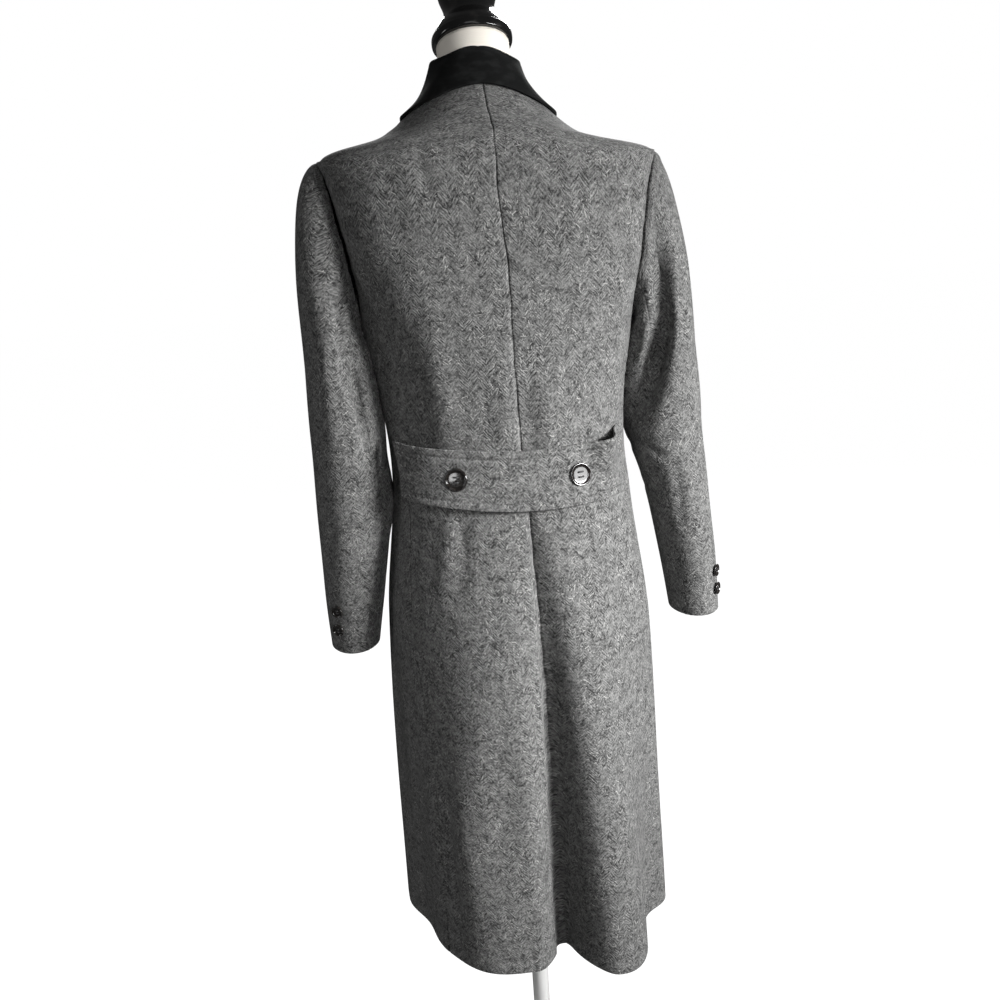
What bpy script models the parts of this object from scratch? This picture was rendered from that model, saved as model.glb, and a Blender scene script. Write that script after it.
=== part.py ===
"""Double-breasted long coat of wool with a velvet collar, worn by a dress form on a round foot.

Units are metres and +Z is up. The coat faces -Y, so +X is the wearer's left.
The origin is the centre of the foot's underside.
Angles run round the body from the wearer's left (0) over the back (90), the right (180) and the front (270).
A level is a distance along the coat's side outline, from the hem up to the neck.
"""

import math
from collections import namedtuple

import bmesh
import bpy
import numpy as np
from mathutils import Matrix, Vector
from mathutils.bvhtree import BVHTree

# Cloth and seams
COAT_WALL = 0.0025
COLLAR_WALL = 0.0030
BELT_WALL = 0.0030
SEAM_GAP = 0.0003
SLEEVE_SEAM_GAP = 0.0005
LEFT = 1
RIGHT = -1

# Body of the coat, a row for each section; heights are above the hem.
# shift moves a section to the wearer's left and slant lifts its left side, as the coat hangs a little askew.
# back and front are depths from the axis, back_lift and front_drop tilt the section,
# square is the section's corner exponent and ease is how far the dress form lies inside.
HEM_HEIGHT = 0.410
Body = namedtuple("Body", "place height half_width shift slant back front back_lift front_drop square ease")
BODY = (
    Body("hem", 0.000, 0.190, 0.000, 0.080, 0.190, 0.188, 0.000, 0.000, 2.10, 0.060),
    Body("knee", 0.200, 0.186, -0.001, 0.079, 0.182, 0.178, 0.000, 0.000, 2.10, 0.045),
    Body("hip", 0.440, 0.176, -0.003, 0.070, 0.163, 0.158, -0.006, 0.000, 2.15, 0.025),
    Body("belt_low", 0.608, 0.156, -0.004, 0.052, 0.131, 0.130, -0.010, 0.000, 2.20, 0.013),
    Body("waist", 0.665, 0.153, -0.002, 0.044, 0.122, 0.125, -0.010, 0.000, 2.20, 0.008),
    Body("ribs", 0.750, 0.158, 0.000, 0.028, 0.120, 0.134, -0.006, 0.000, 2.25, 0.008),
    Body("underarm", 0.823, 0.168, 0.000, 0.014, 0.119, 0.138, 0.000, 0.000, 2.50, 0.008),
    Body("blade", 0.920, 0.187, -0.002, 0.016, 0.111, 0.118, 0.005, 0.000, 3.00, 0.007),
    Body("tip", 1.0235, 0.2055, 0.000, 0.026, 0.092, 0.082, 0.020, 0.000, 2.70, 0.0050),
    Body("slope", 1.047, 0.124, 0.005, 0.042, 0.079, 0.075, 0.028, 0.010, 2.20, 0.0045),
    Body("neck", 1.093, 0.064, 0.006, 0.040, 0.056, 0.060, 0.021, 0.020, 2.00, 0.0033),
)

# Soft folds that grow from their top height down to the hem; depth is at the hem, outward positive.
# The coat turns a little on the form, so its centre-back seam leans to the wearer's right by the hem,
# and a little to the left between the shoulder blades.
BACK_SEAM_LEAN = 7
BLADE_LEAN = 2.5
BLADE_LEAN_HEIGHT = 0.970
BLADE_LEAN_SPREAD = 0.080
Fold = namedtuple("Fold", "place angle spread depth top")
CENTRE_BACK_HOLLOW = Fold("centre_back_hollow", 90 + BACK_SEAM_LEAN, 14, -0.042, 0.60)
FOLDS = (
    CENTRE_BACK_HOLLOW,
    Fold("back_left_ridge", 64, 24, 0.014, 0.56),
    Fold("back_right_ridge", 116, 23, 0.034, 0.56),
    Fold("right_side_hollow", 147, 18, -0.020, 0.45),
    Fold("left_side_hollow", 26, 20, -0.014, 0.45),
    Fold("left_side_drop", 5, 40, -0.006, 0.55),
    Fold("front_left_ridge", 318, 22, 0.010, 0.50),
    Fold("front_right_ridge", 222, 22, 0.010, 0.50),
)

# Side seams, in degrees behind the wearer's sides
SideSeam = namedtuple("SideSeam", "place height left right")
SIDE_SEAM = (
    SideSeam("hem", 0.000, 46, 34),
    SideSeam("thigh", 0.280, 42, 32),
    SideSeam("hip", 0.440, 33, 29),
    SideSeam("belt", 0.646, 24, 24),
    SideSeam("underarm", 0.823, 0, 0),
)

# Panel grid
BACK_COLUMNS = 11
FRONT_COLUMNS = 14
SKIRT_ROWS = 8
BODICE_ROWS = 3
ARMHOLE_ROWS = 10
SHOULDER_ROWS = 4
CENTRE_CROWDING = 1.25

# Armhole and sleeves; turns run round a sleeve from its outside (0) over the back (90), and the armhole's
# half angle is how far it reaches behind and before the wearer's side, in degrees
Head = namedtuple("Head", "reach slope half_angle")
HEADS = {LEFT: Head(0.040, 10, 12), RIGHT: Head(0.026, 36, 19)}
UNDERARM_REACH = 0.008
CAP_PULL = 0.40
HINDARM_COLUMN = 7
CAP_ROWS = 5
TUBE_ROWS = 6
Sleeve = namedtuple("Sleeve", "place height left_out left_half right_out right_half back_shift half_depth")
SLEEVE = (
    Sleeve("bicep", 0.785, 0.206, 0.0410, 0.2090, 0.0440, 0.004, 0.060),
    Sleeve("upper_arm", 0.690, 0.2020, 0.0475, 0.2085, 0.0515, 0.004, 0.058),
    Sleeve("elbow", 0.600, 0.2040, 0.0475, 0.2245, 0.0425, 0.002, 0.056),
    Sleeve("forearm", 0.490, 0.2135, 0.0405, 0.2420, 0.0370, -0.004, 0.052),
    Sleeve("cuff", 0.410, 0.2205, 0.0325, 0.2510, 0.0330, -0.008, 0.047),
)

# Hollows that run down the back of each sleeve, from the turn at their top to the turn at their foot
SleeveFold = namedtuple("SleeveFold", "side top foot top_turn foot_turn spread depth")
SLEEVE_FOLDS = (
    SleeveFold(RIGHT, 0.950, 0.640, 86, 138, 30, -0.015),
    SleeveFold(LEFT, 0.910, 0.660, 104, 122, 24, -0.006),
)

# Half belt across the back waist
BELT_MIDDLE = 0.6545
BELT_WIDTH = 0.071
BELT_ROWS = 2
BELT_LOOSE_ANGLE = 147
BELT_LOOSE_SPREAD = 24
BELT_LOOSE = 0.009

# Fronts, which overlap right over left
OVERLAP = 0.075
BREAK_HEIGHT = 0.700
NECK_POINT = 0.052
LAYER = 0.0048
LAPEL_LAYERS = 0.0110
LAYER_RISE = 0.13
LAYER_BLEND_ANGLE = 22
LAPEL_ROWS = 11
LAPEL_COLUMNS = 7
LAPEL_TOP = (0.050, 1.052)
LAPEL_PEAK = (0.128, 0.990)
LAPEL_BULGE = 0.012
LAPEL_LIFT = 0.0038
ROLL_LIFT = 0.0028
ROLL_INSET = 0.004
LAPEL_START = 0.06
FRONT_CENTRE = 1.5 * math.pi
EDGE_PASSES = 8

# Collar: rows by the angle round from the centre back. stand is the height of the fold over the
# neck seam, fall is how far down the level of the outer edge lies
Collar = namedtuple("Collar", "place angle stand fall")
COLLAR = (
    Collar("centre_back", 0, 0.030, 0.024),
    Collar("back_neck", 45, 0.035, 0.027),
    Collar("side_neck", 90, 0.041, 0.036),
    Collar("front_end", 136, 0.040, 0.058),
)
COLLAR_SEAT = 0.0009
COLLAR_ROLL = 0.0032
COLLAR_LIFT = 0.0030
COLLAR_BOW = 0.007
COLLAR_BOW_SPREAD = 45
COLLAR_FALL_POINTS = 4
COLLAR_STAND_POINTS = 3
COLLAR_ROLL_POINTS = 4

# Dress form
FORM_BOTTOM = 0.380
FORM_LOW_ROWS = 6
FORM_COLUMN_STEP = 2
FRONT_EASE = 0.004
NECK_SHIFT = BODY[-1].shift
NECK_RADIUS = 0.0440
NECK_BASE = (0.006, 1.500)
NECK_START_HEIGHT = 1.512
NECK_TOP_HEIGHT = 1.562
NECK_TILT = 22
NECK_FIT = 0.0018
NECK_ROWS = 4
FINIAL_SIDES = 20
FINIAL_PROFILE = (
    # radius and height above the neck, from the flange up to the knob
    (0.0485, 0.000),
    (0.0490, 0.007),
    (0.0450, 0.018),
    (0.0360, 0.031),
    (0.0305, 0.043),
    (0.0325, 0.052),
    (0.0365, 0.068),
    (0.0345, 0.086),
    (0.0240, 0.100),
    (0.0100, 0.107),
)
BASE_SIDES = 32
BASE_PROFILE = (
    (0.166, 0.000),
    (0.170, 0.004),
    (0.170, 0.010),
    (0.162, 0.016),
    (0.040, 0.022),
    (0.030, 0.030),
)
POLE_RADIUS = 0.012
POLE_SIDES = 16

# Buttons: share of the radius and of the thickness for the turned outline over the shank
LARGE_BUTTON_RADIUS = 0.0145
SMALL_BUTTON_RADIUS = 0.0085
LARGE_BUTTON_THICKNESS = 0.0042
SMALL_BUTTON_THICKNESS = 0.0032
BUTTON_SIDES = 14
BUTTON_SEAT = 0.0007
SHANK_LENGTH = 0.0012
SHANK_SHARE = 0.30
BUTTON_OUTLINE = ((0.80, 0.00), (1.00, 0.45), (0.96, 1.00), (0.80, 0.92), (0.70, 0.66))
BELT_BUTTON_ANGLES = {LEFT: 55, RIGHT: 123}
FRONT_BUTTON_SPREAD = 0.056
FRONT_BUTTON_ROWS = 3
FRONT_BUTTON_TOP = 0.670
FRONT_BUTTON_STEP = 0.110
CUFF_BUTTON_TURNS = {LEFT: 63, RIGHT: 55}
CUFF_BUTTON_HEIGHTS = (0.444, 0.471)

# Colours in linear light, roughness and metallic
WOOL = ((0.200, 0.200, 0.196, 1.0), 0.90, 0.0)
VELVET = ((0.006, 0.007, 0.007, 1.0), 0.85, 0.0)
HORN = ((0.012, 0.010, 0.009, 1.0), 0.18, 0.0)
FORM_CLOTH = ((0.820, 0.760, 0.660, 1.0), 0.80, 0.0)
BLACK_LACQUER = ((0.008, 0.008, 0.008, 1.0), 0.25, 0.0)
WHITE_STEEL = ((0.800, 0.800, 0.790, 1.0), 0.35, 0.0)

TINY = 1e-4
FINE_STEPS = 2000


def clear_scene():
    for old in list(bpy.data.objects):
        bpy.data.objects.remove(old, do_unlink=True)


def material(name, finish):
    colour, roughness, metallic = finish
    made = bpy.data.materials.new(name)
    made.use_nodes = True
    shader = made.node_tree.nodes["Principled BSDF"]
    shader.inputs["Base Color"].default_value = colour
    shader.inputs["Roughness"].default_value = roughness
    shader.inputs["Metallic"].default_value = metallic
    return made


def add_object(name, mesh, finish):
    """A closed mesh with its normals outward becomes a named object with its own material."""
    bmesh.ops.recalc_face_normals(mesh, faces=mesh.faces[:])
    data = bpy.data.meshes.new(name)
    mesh.to_mesh(data)
    mesh.free()
    data.materials.append(material(name, finish))
    made = bpy.data.objects.new(name, data)
    bpy.context.collection.objects.link(made)
    return made


def shell(name, outer, inner, finish):
    """A cloth wall between an outer and an inner grid of points, closed along its four edges."""
    rows, columns = outer.shape[:2]
    mesh = bmesh.new()
    out = [[mesh.verts.new(outer[i, j]) for j in range(columns)] for i in range(rows)]
    inn = [[mesh.verts.new(inner[i, j]) for j in range(columns)] for i in range(rows)]
    for i in range(rows - 1):
        for j in range(columns - 1):
            mesh.faces.new((out[i][j], out[i][j + 1], out[i + 1][j + 1], out[i + 1][j]))
            mesh.faces.new((inn[i][j], inn[i + 1][j], inn[i + 1][j + 1], inn[i][j + 1]))
    low_edge = [(0, j) for j in range(columns)]
    far_edge = [(i, columns - 1) for i in range(1, rows)]
    top_edge = [(rows - 1, j) for j in range(columns - 2, -1, -1)]
    near_edge = [(i, 0) for i in range(rows - 2, 0, -1)]
    border = low_edge + far_edge + top_edge + near_edge
    for (i, j), (k, l) in zip(border, border[1:] + border[:1]):
        mesh.faces.new((out[i][j], inn[i][j], inn[k][l], out[k][l]))
    return add_object(name, mesh, finish)


def ringed(name, rings, finish):
    """A solid through closed rings of points, with a flat cap at each end."""
    mesh = bmesh.new()
    loops = [[mesh.verts.new(point) for point in ring] for ring in rings]
    for low, high in zip(loops, loops[1:]):
        for j in range(len(low)):
            k = (j + 1) % len(low)
            mesh.faces.new((low[j], low[k], high[k], high[j]))
    mesh.faces.new(loops[0][::-1])
    mesh.faces.new(loops[-1])
    return add_object(name, mesh, finish)


def turned(name, profile, sides, finish, place=None):
    """A turned solid from radius and height pairs, moved to its place."""
    place = place or Matrix.Identity(4)
    steps = [2 * math.pi * k / sides for k in range(sides)]
    rings = []
    for radius, height in profile:
        ring = [Vector((radius * math.cos(a), radius * math.sin(a), height)) for a in steps]
        rings.append([place @ point for point in ring])
    return ringed(name, rings, finish)


def smooth_column(place, knots, values):
    """Cubic through a table's column that keeps between neighbouring values."""
    knots = np.asarray(knots, float)
    values = np.asarray(values, float)
    steps = np.diff(knots)
    slopes = np.diff(values) / steps
    before, after = slopes[:-1], slopes[1:]
    same_way = before * after > 0
    weight_before = 2 * steps[1:] + steps[:-1]
    weight_after = steps[1:] + 2 * steps[:-1]
    safe_before = np.where(same_way, before, 1.0)
    safe_after = np.where(same_way, after, 1.0)
    mean = (weight_before + weight_after) / (weight_before / safe_before + weight_after / safe_after)
    inside = np.where(same_way, mean, 0.0)
    tangents = np.concatenate((slopes[:1], inside, slopes[-1:]))
    place = np.clip(place, knots[0], knots[-1])
    k = np.clip(np.searchsorted(knots, place, side="right") - 1, 0, len(steps) - 1)
    h = steps[k]
    t = (place - knots[k]) / h
    start = (1 + 2 * t) * (1 - t) ** 2 * values[k] + t * (1 - t) ** 2 * h * tangents[k]
    end = t * t * (3 - 2 * t) * values[k + 1] - t * t * (1 - t) * h * tangents[k + 1]
    return start + end


def bell(offset):
    return 0.5 + 0.5 * np.cos(np.pi * np.clip(offset, -1, 1))


def rise(value, low, high):
    """Smooth step from 0 at low to 1 at high."""
    t = np.clip((value - low) / (high - low), 0, 1)
    return t * t * (3 - 2 * t)


def side_levels():
    outline = np.array([(row.half_width, row.height) for row in BODY])
    steps = np.linalg.norm(np.diff(outline, axis=0), axis=1)
    return np.concatenate(((0.0,), np.cumsum(steps)))


LEVELS = side_levels()
PLACES = [row.place for row in BODY]


def level_of(place):
    return LEVELS[PLACES.index(place)]


def level_height(place):
    return BODY[PLACES.index(place)].height


def body_column(column, level):
    return smooth_column(level, LEVELS, [getattr(row, column) for row in BODY])


def level_at(height):
    """Level whose section lies at a height above the hem."""
    fine = np.linspace(LEVELS[0], LEVELS[-1], FINE_STEPS)
    return np.interp(height, body_column("height", fine), fine)


def fold_depth(angle, height):
    """How far the folds move the cloth outward."""
    moved = 0.0
    lean = BACK_SEAM_LEAN * np.clip(height / BODY[-1].height, 0, 1)
    for fold in FOLDS:
        turned_back = lean if fold is CENTRE_BACK_HOLLOW else 0.0
        away = (np.degrees(angle) - fold.angle + turned_back + 180) % 360 - 180
        moved = moved + fold.depth * np.clip(1 - height / fold.top, 0, 1) * bell(away / fold.spread)
    return moved


def centre_back(level):
    """Angle of the centre-back seam, which runs down the bottom of its fold."""
    height = body_column("height", level)
    share = np.clip(1 - height / BODY[-1].height, 0, 1)
    blade = bell((height - BLADE_LEAN_HEIGHT) / BLADE_LEAN_SPREAD)
    return np.radians(90 + BACK_SEAM_LEAN * share - BLADE_LEAN * blade)


def body_radius(angle, level, folded=True):
    """Distance of the coat's outer surface from the axis."""
    across, along = np.cos(angle), np.sin(angle)
    depth = np.where(along >= 0, body_column("back", level), body_column("front", level))
    power = body_column("square", level)
    wide = np.abs(across / body_column("half_width", level)) ** power
    radius = (wide + np.abs(along / depth) ** power) ** (-1 / power)
    if folded:
        radius = radius + fold_depth(angle, body_column("height", level))
    return radius


def body_point(angle, level, folded=True):
    """Point of the coat's outer surface."""
    angle, level = np.broadcast_arrays(angle, level)
    across, along = np.cos(angle), np.sin(angle)
    radius = body_radius(angle, level, folded)
    tilt = np.where(along >= 0, body_column("back_lift", level), -body_column("front_drop", level))
    height = body_column("height", level)
    slant = body_column("slant", level)
    if not folded:
        slant = slant * rise(height, level_height("underarm"), level_height("blade"))
    x = radius * across
    z = HEM_HEIGHT + height + tilt * along**2 + slant * x
    return np.stack((x + body_column("shift", level), radius * along, z), axis=-1)


def unit(vectors):
    return vectors / np.linalg.norm(vectors, axis=-1, keepdims=True)


def body_normal(angle, level, folded=True):
    low = np.clip(level - TINY, LEVELS[0], LEVELS[-1])
    high = np.clip(level + TINY, LEVELS[0], LEVELS[-1])
    round_step = body_point(angle + TINY, level, folded) - body_point(angle - TINY, level, folded)
    up_step = body_point(angle, high, folded) - body_point(angle, low, folded)
    return unit(np.cross(round_step, up_step))


def on_body(angle, level, out=0.0, folded=True):
    """Point of the coat's outer surface moved outward by a distance."""
    out = np.asarray(out, float)[..., None]
    return body_point(angle, level, folded) + out * body_normal(angle, level, folded)


def seam_trim(angle, level):
    """Half of a seam's gap as an angle."""
    point = body_point(angle, level)
    return SEAM_GAP / 2 / np.hypot(point[..., 0], point[..., 1])


BELT_LOW = float(level_at(BELT_MIDDLE - BELT_WIDTH / 2))
BELT_HIGH = float(level_at(BELT_MIDDLE + BELT_WIDTH / 2))
BELT_LEVELS = np.linspace(BELT_LOW, BELT_HIGH, BELT_ROWS + 1)


def armhole_turns():
    return np.linspace(np.pi, 0, ARMHOLE_ROWS + 1)


def armhole_level(turn):
    low, high = level_of("underarm"), level_of("tip")
    return low + (high - low) * (1 + np.cos(turn)) / 2


def armhole_angle(side, turn):
    """Angle of the armhole's edge from the wearer's side, to the back positive."""
    return math.radians(HEADS[side].half_angle) * np.sin(turn)


def panel_rows(side):
    """Levels of the panels' rows and the armhole's edge angle at each."""
    turns = armhole_turns()
    skirt = np.linspace(LEVELS[0], BELT_LOW, SKIRT_ROWS + 1)[:-1]
    bodice = np.linspace(BELT_HIGH, level_of("underarm"), BODICE_ROWS + 1)[1:-1]
    shoulder = np.linspace(level_of("tip"), level_of("neck"), SHOULDER_ROWS + 1)[1:]
    levels = np.concatenate((skirt, BELT_LEVELS, bodice, armhole_level(turns), shoulder))
    edges = np.full(len(levels), -np.pi)
    first = len(skirt) + len(BELT_LEVELS) + len(bodice)
    edges[first : first + len(turns)] = armhole_angle(side, turns)
    return levels, edges


def seam_angle(side, levels):
    """How far the side seam lies behind the wearer's side."""
    column = [row.left if side == LEFT else row.right for row in SIDE_SEAM]
    heights = [row.height for row in SIDE_SEAM]
    return np.radians(smooth_column(body_column("height", levels), heights, column))


def panel_start(side, levels, edges, facing):
    """Side edge of a back (facing 1) or front (facing -1) panel, measured from the wearer's side."""
    trim = seam_trim(side_angle(side, 0.0), levels)
    return np.maximum(edges, facing * seam_angle(side, levels) + trim)


def back_shares():
    """Places of the columns from the side seam to the centre back, closer together at the fold."""
    return 1 - (1 - np.linspace(0, 1, BACK_COLUMNS + 1)) ** CENTRE_CROWDING


def side_angle(side, back_angle):
    """Angle on the wearer's left or right that lies this far behind the side seam."""
    return back_angle if side == LEFT else np.pi - back_angle


def back_angles(side, levels, edges):
    middle = centre_back(levels)
    start = panel_start(side, levels, edges, 1)
    stop = side_angle(side, middle) - seam_trim(middle, levels)
    spread = start[:, None] + (stop - start)[:, None] * back_shares()[None, :]
    return side_angle(side, spread)


def make_back(side, name):
    levels, edges = panel_rows(side)
    angles = back_angles(side, levels, edges)
    grid = np.broadcast_to(levels[:, None], angles.shape)
    return shell(name, on_body(angles, grid), on_body(angles, grid, -COAT_WALL), WOOL)


def front_edge(level):
    """Angle of the front edge past the centre front; positive on the front's own side."""
    height = body_column("height", level)
    rolled = np.clip((height - BREAK_HEIGHT) / (BODY[-1].height - BREAK_HEIGHT), 0, 1)
    reach = -OVERLAP + (NECK_POINT + OVERLAP) * rolled
    angle = np.zeros_like(reach)
    for _ in range(EDGE_PASSES):
        angle = np.arcsin(reach / body_radius(FRONT_CENTRE + angle, level, folded=False))
    return angle


def front_layer(side, past_centre, level):
    """How far the right front lies out over the left one; past_centre is negative in the overlap."""
    if side == LEFT:
        return np.zeros_like(past_centre)
    height = body_column("height", level)
    near_break = rise(height, BREAK_HEIGHT - LAYER_RISE, BREAK_HEIGHT - LAYER_RISE / 4)
    over_neck = rise(height, level_height("blade"), level_height("slope"))
    amount = (LAYER + (LAPEL_LAYERS - LAYER) * near_break) * (1 - over_neck)
    under_edge = -front_edge(level)
    blend = math.radians(LAYER_BLEND_ANGLE)
    return amount * (1 - rise(past_centre, under_edge, under_edge + blend))


def front_grid(side):
    """Angles, levels and outward shift of one front panel's corners."""
    levels, edges = panel_rows(side)
    start = panel_start(side, levels, edges, -1)
    stop = np.pi / 2 - front_edge(levels)
    share = np.linspace(0, 1, FRONT_COLUMNS + 1)
    before_side = start[:, None] + (stop - start)[:, None] * share[None, :]
    grid = np.broadcast_to(levels[:, None], before_side.shape)
    out = front_layer(side, np.pi / 2 - before_side, grid)
    return side_angle(side, -before_side), grid, out


def make_front(side, name):
    angles, grid, out = front_grid(side)
    return shell(name, on_body(angles, grid, out), on_body(angles, grid, out - COAT_WALL), WOOL)


def armhole_points(side, turn):
    """Sleeve's edge in the armhole, a seam's gap inside the body's edge."""
    edge = body_point(side_angle(side, armhole_angle(side, turn)), armhole_level(turn))
    round_turns = np.linspace(0, 2 * np.pi, 2 * ARMHOLE_ROWS, endpoint=False)
    ring = body_point(side_angle(side, armhole_angle(side, round_turns)), armhole_level(round_turns))
    return edge - SEAM_GAP * unit(edge - ring.mean(axis=0))


def sleeve_column(column, height):
    rows = SLEEVE[::-1]
    return smooth_column(height, [row.height for row in rows], [getattr(row, column) for row in rows])


def sleeve_ring(side, turn, height):
    word = "left" if side == LEFT else "right"
    x = side * (sleeve_column(word + "_out", height) + sleeve_column(word + "_half", height) * np.cos(turn))
    y = sleeve_column("back_shift", height) + sleeve_column("half_depth", height) * np.sin(turn)
    return np.stack((x, y, HEM_HEIGHT + height + 0 * turn), axis=-1)


def sleeve_fold(side, turn, height):
    """How far the folds move a sleeve's cloth outward."""
    moved = 0.0
    for fold in SLEEVE_FOLDS:
        if fold.side != side:
            continue
        down = (fold.top - height) / (fold.top - fold.foot)
        middle = fold.top_turn + (fold.foot_turn - fold.top_turn) * down
        away = (np.degrees(turn) - middle + 180) % 360 - 180
        moved = moved + fold.depth * bell(2 * down - 1) * bell(away / fold.spread)
    return moved


def sleeve_point(side, turn, along):
    """Point of a sleeve: along runs 0 to 1 over the cap and 1 to 2 down to the cuff."""
    turn, along = np.broadcast_arrays(turn, along)
    top, cuff = SLEEVE[0].height, SLEEVE[-1].height
    down = np.clip(along - 1, 0, 1)
    tube = sleeve_ring(side, turn, top + (cuff - top) * down)
    t = np.clip(along, 0, 1)[..., None]
    start = armhole_points(side, turn)
    end = sleeve_ring(side, turn, np.full_like(turn, top))
    facing_up = (0.5 + 0.5 * np.cos(turn))[..., None]
    slope = math.radians(HEADS[side].slope) * facing_up
    zero = np.zeros_like(slope)
    leave = np.concatenate((side * np.cos(slope), zero, -np.sin(slope)), axis=-1)
    first = start + leave * (UNDERARM_REACH + (HEADS[side].reach - UNDERARM_REACH) * facing_up)
    drop = start[..., 2:] - end[..., 2:]
    second = end + np.concatenate((zero, zero, CAP_PULL * drop), axis=-1)
    s = 1 - t
    cap = s**3 * start + 3 * s * s * t * first + 3 * s * t * t * second + t**3 * end
    plain = np.where(along[..., None] <= 1, cap, tube)
    moved = np.clip(along, 0, 1) * sleeve_fold(side, turn, plain[..., 2] - HEM_HEIGHT)
    outward = np.stack((side * np.cos(turn), np.sin(turn), 0 * turn), axis=-1)
    return plain + moved[..., None] * outward


def sleeve_normal(side, turn, along):
    low = np.clip(along - TINY, 0, 2)
    high = np.clip(along + TINY, 0, 2)
    round_step = sleeve_point(side, turn + TINY, along) - sleeve_point(side, turn - TINY, along)
    down_step = sleeve_point(side, turn, high) - sleeve_point(side, turn, low)
    return unit(-side * np.cross(round_step, down_step))


def sleeve_width(side, turn, along):
    """Width of a tiny turn of the sleeve, measured square to its length."""
    step = sleeve_point(side, turn + TINY, along) - sleeve_point(side, turn, along)
    low = np.clip(along - TINY, 0, 2)
    high = np.clip(along + TINY, 0, 2)
    down = unit(sleeve_point(side, turn, high) - sleeve_point(side, turn, low))
    along_part = (step * down).sum(axis=-1, keepdims=True)
    return np.linalg.norm(step - along_part * down, axis=-1)


def sleeve_rows():
    cap = np.linspace(0, 1, CAP_ROWS + 1)[:-1]
    tube = np.linspace(1, 2, TUBE_ROWS + 1)
    return np.concatenate((cap, tube))


def make_sleeve_piece(side, name, first_column, last_column):
    """Upper or under sleeve between two columns that match the armhole's rows."""
    step = np.pi / ARMHOLE_ROWS
    columns = step * np.arange(first_column, last_column + 1)
    along = np.broadcast_to(sleeve_rows()[:, None], (CAP_ROWS + TUBE_ROWS + 1, len(columns)))
    turns = np.broadcast_to(columns[None, :], along.shape).copy()
    trim = SLEEVE_SEAM_GAP / 2 * TINY / sleeve_width(side, turns, along)
    turns[:, 0] += trim[:, 0]
    turns[:, -1] -= trim[:, -1]
    outer = sleeve_point(side, turns, along)
    return shell(name, outer, outer - COAT_WALL * sleeve_normal(side, turns, along), WOOL)


def make_sleeve(side, name):
    full_turn = 2 * ARMHOLE_ROWS
    upper = make_sleeve_piece(side, name + "_upper", -HINDARM_COLUMN, HINDARM_COLUMN)
    make_sleeve_piece(side, name + "_under", HINDARM_COLUMN, full_turn - HINDARM_COLUMN)
    return upper


def make_belt():
    """Half belt laid on the back panels from side seam to side seam, loose at its upper right."""
    edges = np.full(len(BELT_LEVELS), -np.pi)
    left = back_angles(LEFT, BELT_LEVELS, edges)
    right = back_angles(RIGHT, BELT_LEVELS, edges)[:, ::-1]
    angles = np.concatenate((left[:, 1:], right[:, :-1]), axis=1)
    grid = np.broadcast_to(BELT_LEVELS[:, None], angles.shape)
    near = bell((np.degrees(angles) - BELT_LOOSE_ANGLE) / BELT_LOOSE_SPREAD)
    upward = (grid - BELT_LOW) / (BELT_HIGH - BELT_LOW)
    loose = SEAM_GAP + BELT_LOOSE * near * upward
    return shell("half_belt", on_body(angles, grid, loose + BELT_WALL), on_body(angles, grid, loose), WOOL)


def collar_column(column, from_back):
    return smooth_column(from_back, [row.angle for row in COLLAR], [getattr(row, column) for row in COLLAR])


def fold_ring_radius(angle, height):
    """Distance from the body's axis to the collar's fold, which follows the tilted neck."""
    lean = math.tan(math.radians(NECK_TILT))
    centre = NECK_BASE[0] - (height - NECK_BASE[1]) * lean
    clear = NECK_FIT + COLLAR_WALL / 2 + COLLAR_ROLL
    wide = NECK_RADIUS + clear
    deep = NECK_RADIUS / math.cos(math.radians(NECK_TILT)) + clear
    square = (math.cos(angle) / wide) ** 2 + (math.sin(angle) / deep) ** 2
    linear = centre * math.sin(angle) / deep**2
    rest = (centre / deep) ** 2 - 1
    return (linear + math.sqrt(linear**2 - square * rest)) / square


def collar_profile(angle):
    """Closed outline of the collar in the upright plane at an angle, as distance and height."""
    from_back = abs(math.degrees(angle) - 90)
    level = level_of("neck")
    base = on_body(angle, level, -COAT_WALL / 2)
    fall = float(collar_column("fall", from_back))
    edge = on_body(angle, level - fall, COLLAR_LIFT)
    fold_height = base[2] + float(collar_column("stand", from_back))
    fold = float(fold_ring_radius(angle, fold_height))
    low = np.array((math.hypot(base[0] - NECK_SHIFT, base[1]), base[2] + COLLAR_SEAT))
    end = np.array((math.hypot(edge[0] - NECK_SHIFT, edge[1]), edge[2]))
    centre = np.array((fold, fold_height - COLLAR_ROLL))
    stand = np.linspace(low, centre - (COLLAR_ROLL, 0), COLLAR_STAND_POINTS)
    steps = np.linspace(np.pi, 0, COLLAR_ROLL_POINTS + 1)[1:-1]
    roll = centre + COLLAR_ROLL * np.stack((np.cos(steps), np.sin(steps)), axis=-1)
    shares = np.linspace(0, 1, COLLAR_FALL_POINTS)[:, None]
    fall_start = centre + (COLLAR_ROLL, 0)
    bow = COLLAR_BOW * bell((from_back - 90) / COLLAR_BOW_SPREAD) * np.sin(np.pi * shares)
    inward = unit(np.array((end - fall_start)[::-1]))
    fall_line = fall_start + (end - fall_start) * shares + bow * inward * (1, -1)
    line = np.concatenate((stand, roll, fall_line))
    ahead = np.gradient(line, axis=0)
    across = unit(np.stack((-ahead[:, 1], ahead[:, 0]), axis=-1))
    half = COLLAR_WALL / 2
    return np.concatenate((line + half * across, (line - half * across)[::-1]))


def collar_angles():
    neck = np.array((level_of("neck"),))
    back = back_angles(LEFT, neck, np.zeros(1))[0]
    front_start = float(np.pi / 2 - front_edge(neck)[0])
    front = -np.linspace(front_start, 0, FRONT_COLUMNS // 2 + 1)[:-1]
    half = np.concatenate((front, back[:-1]))
    return np.concatenate((half, (np.pi / 2,), np.pi - half[::-1]))


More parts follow.
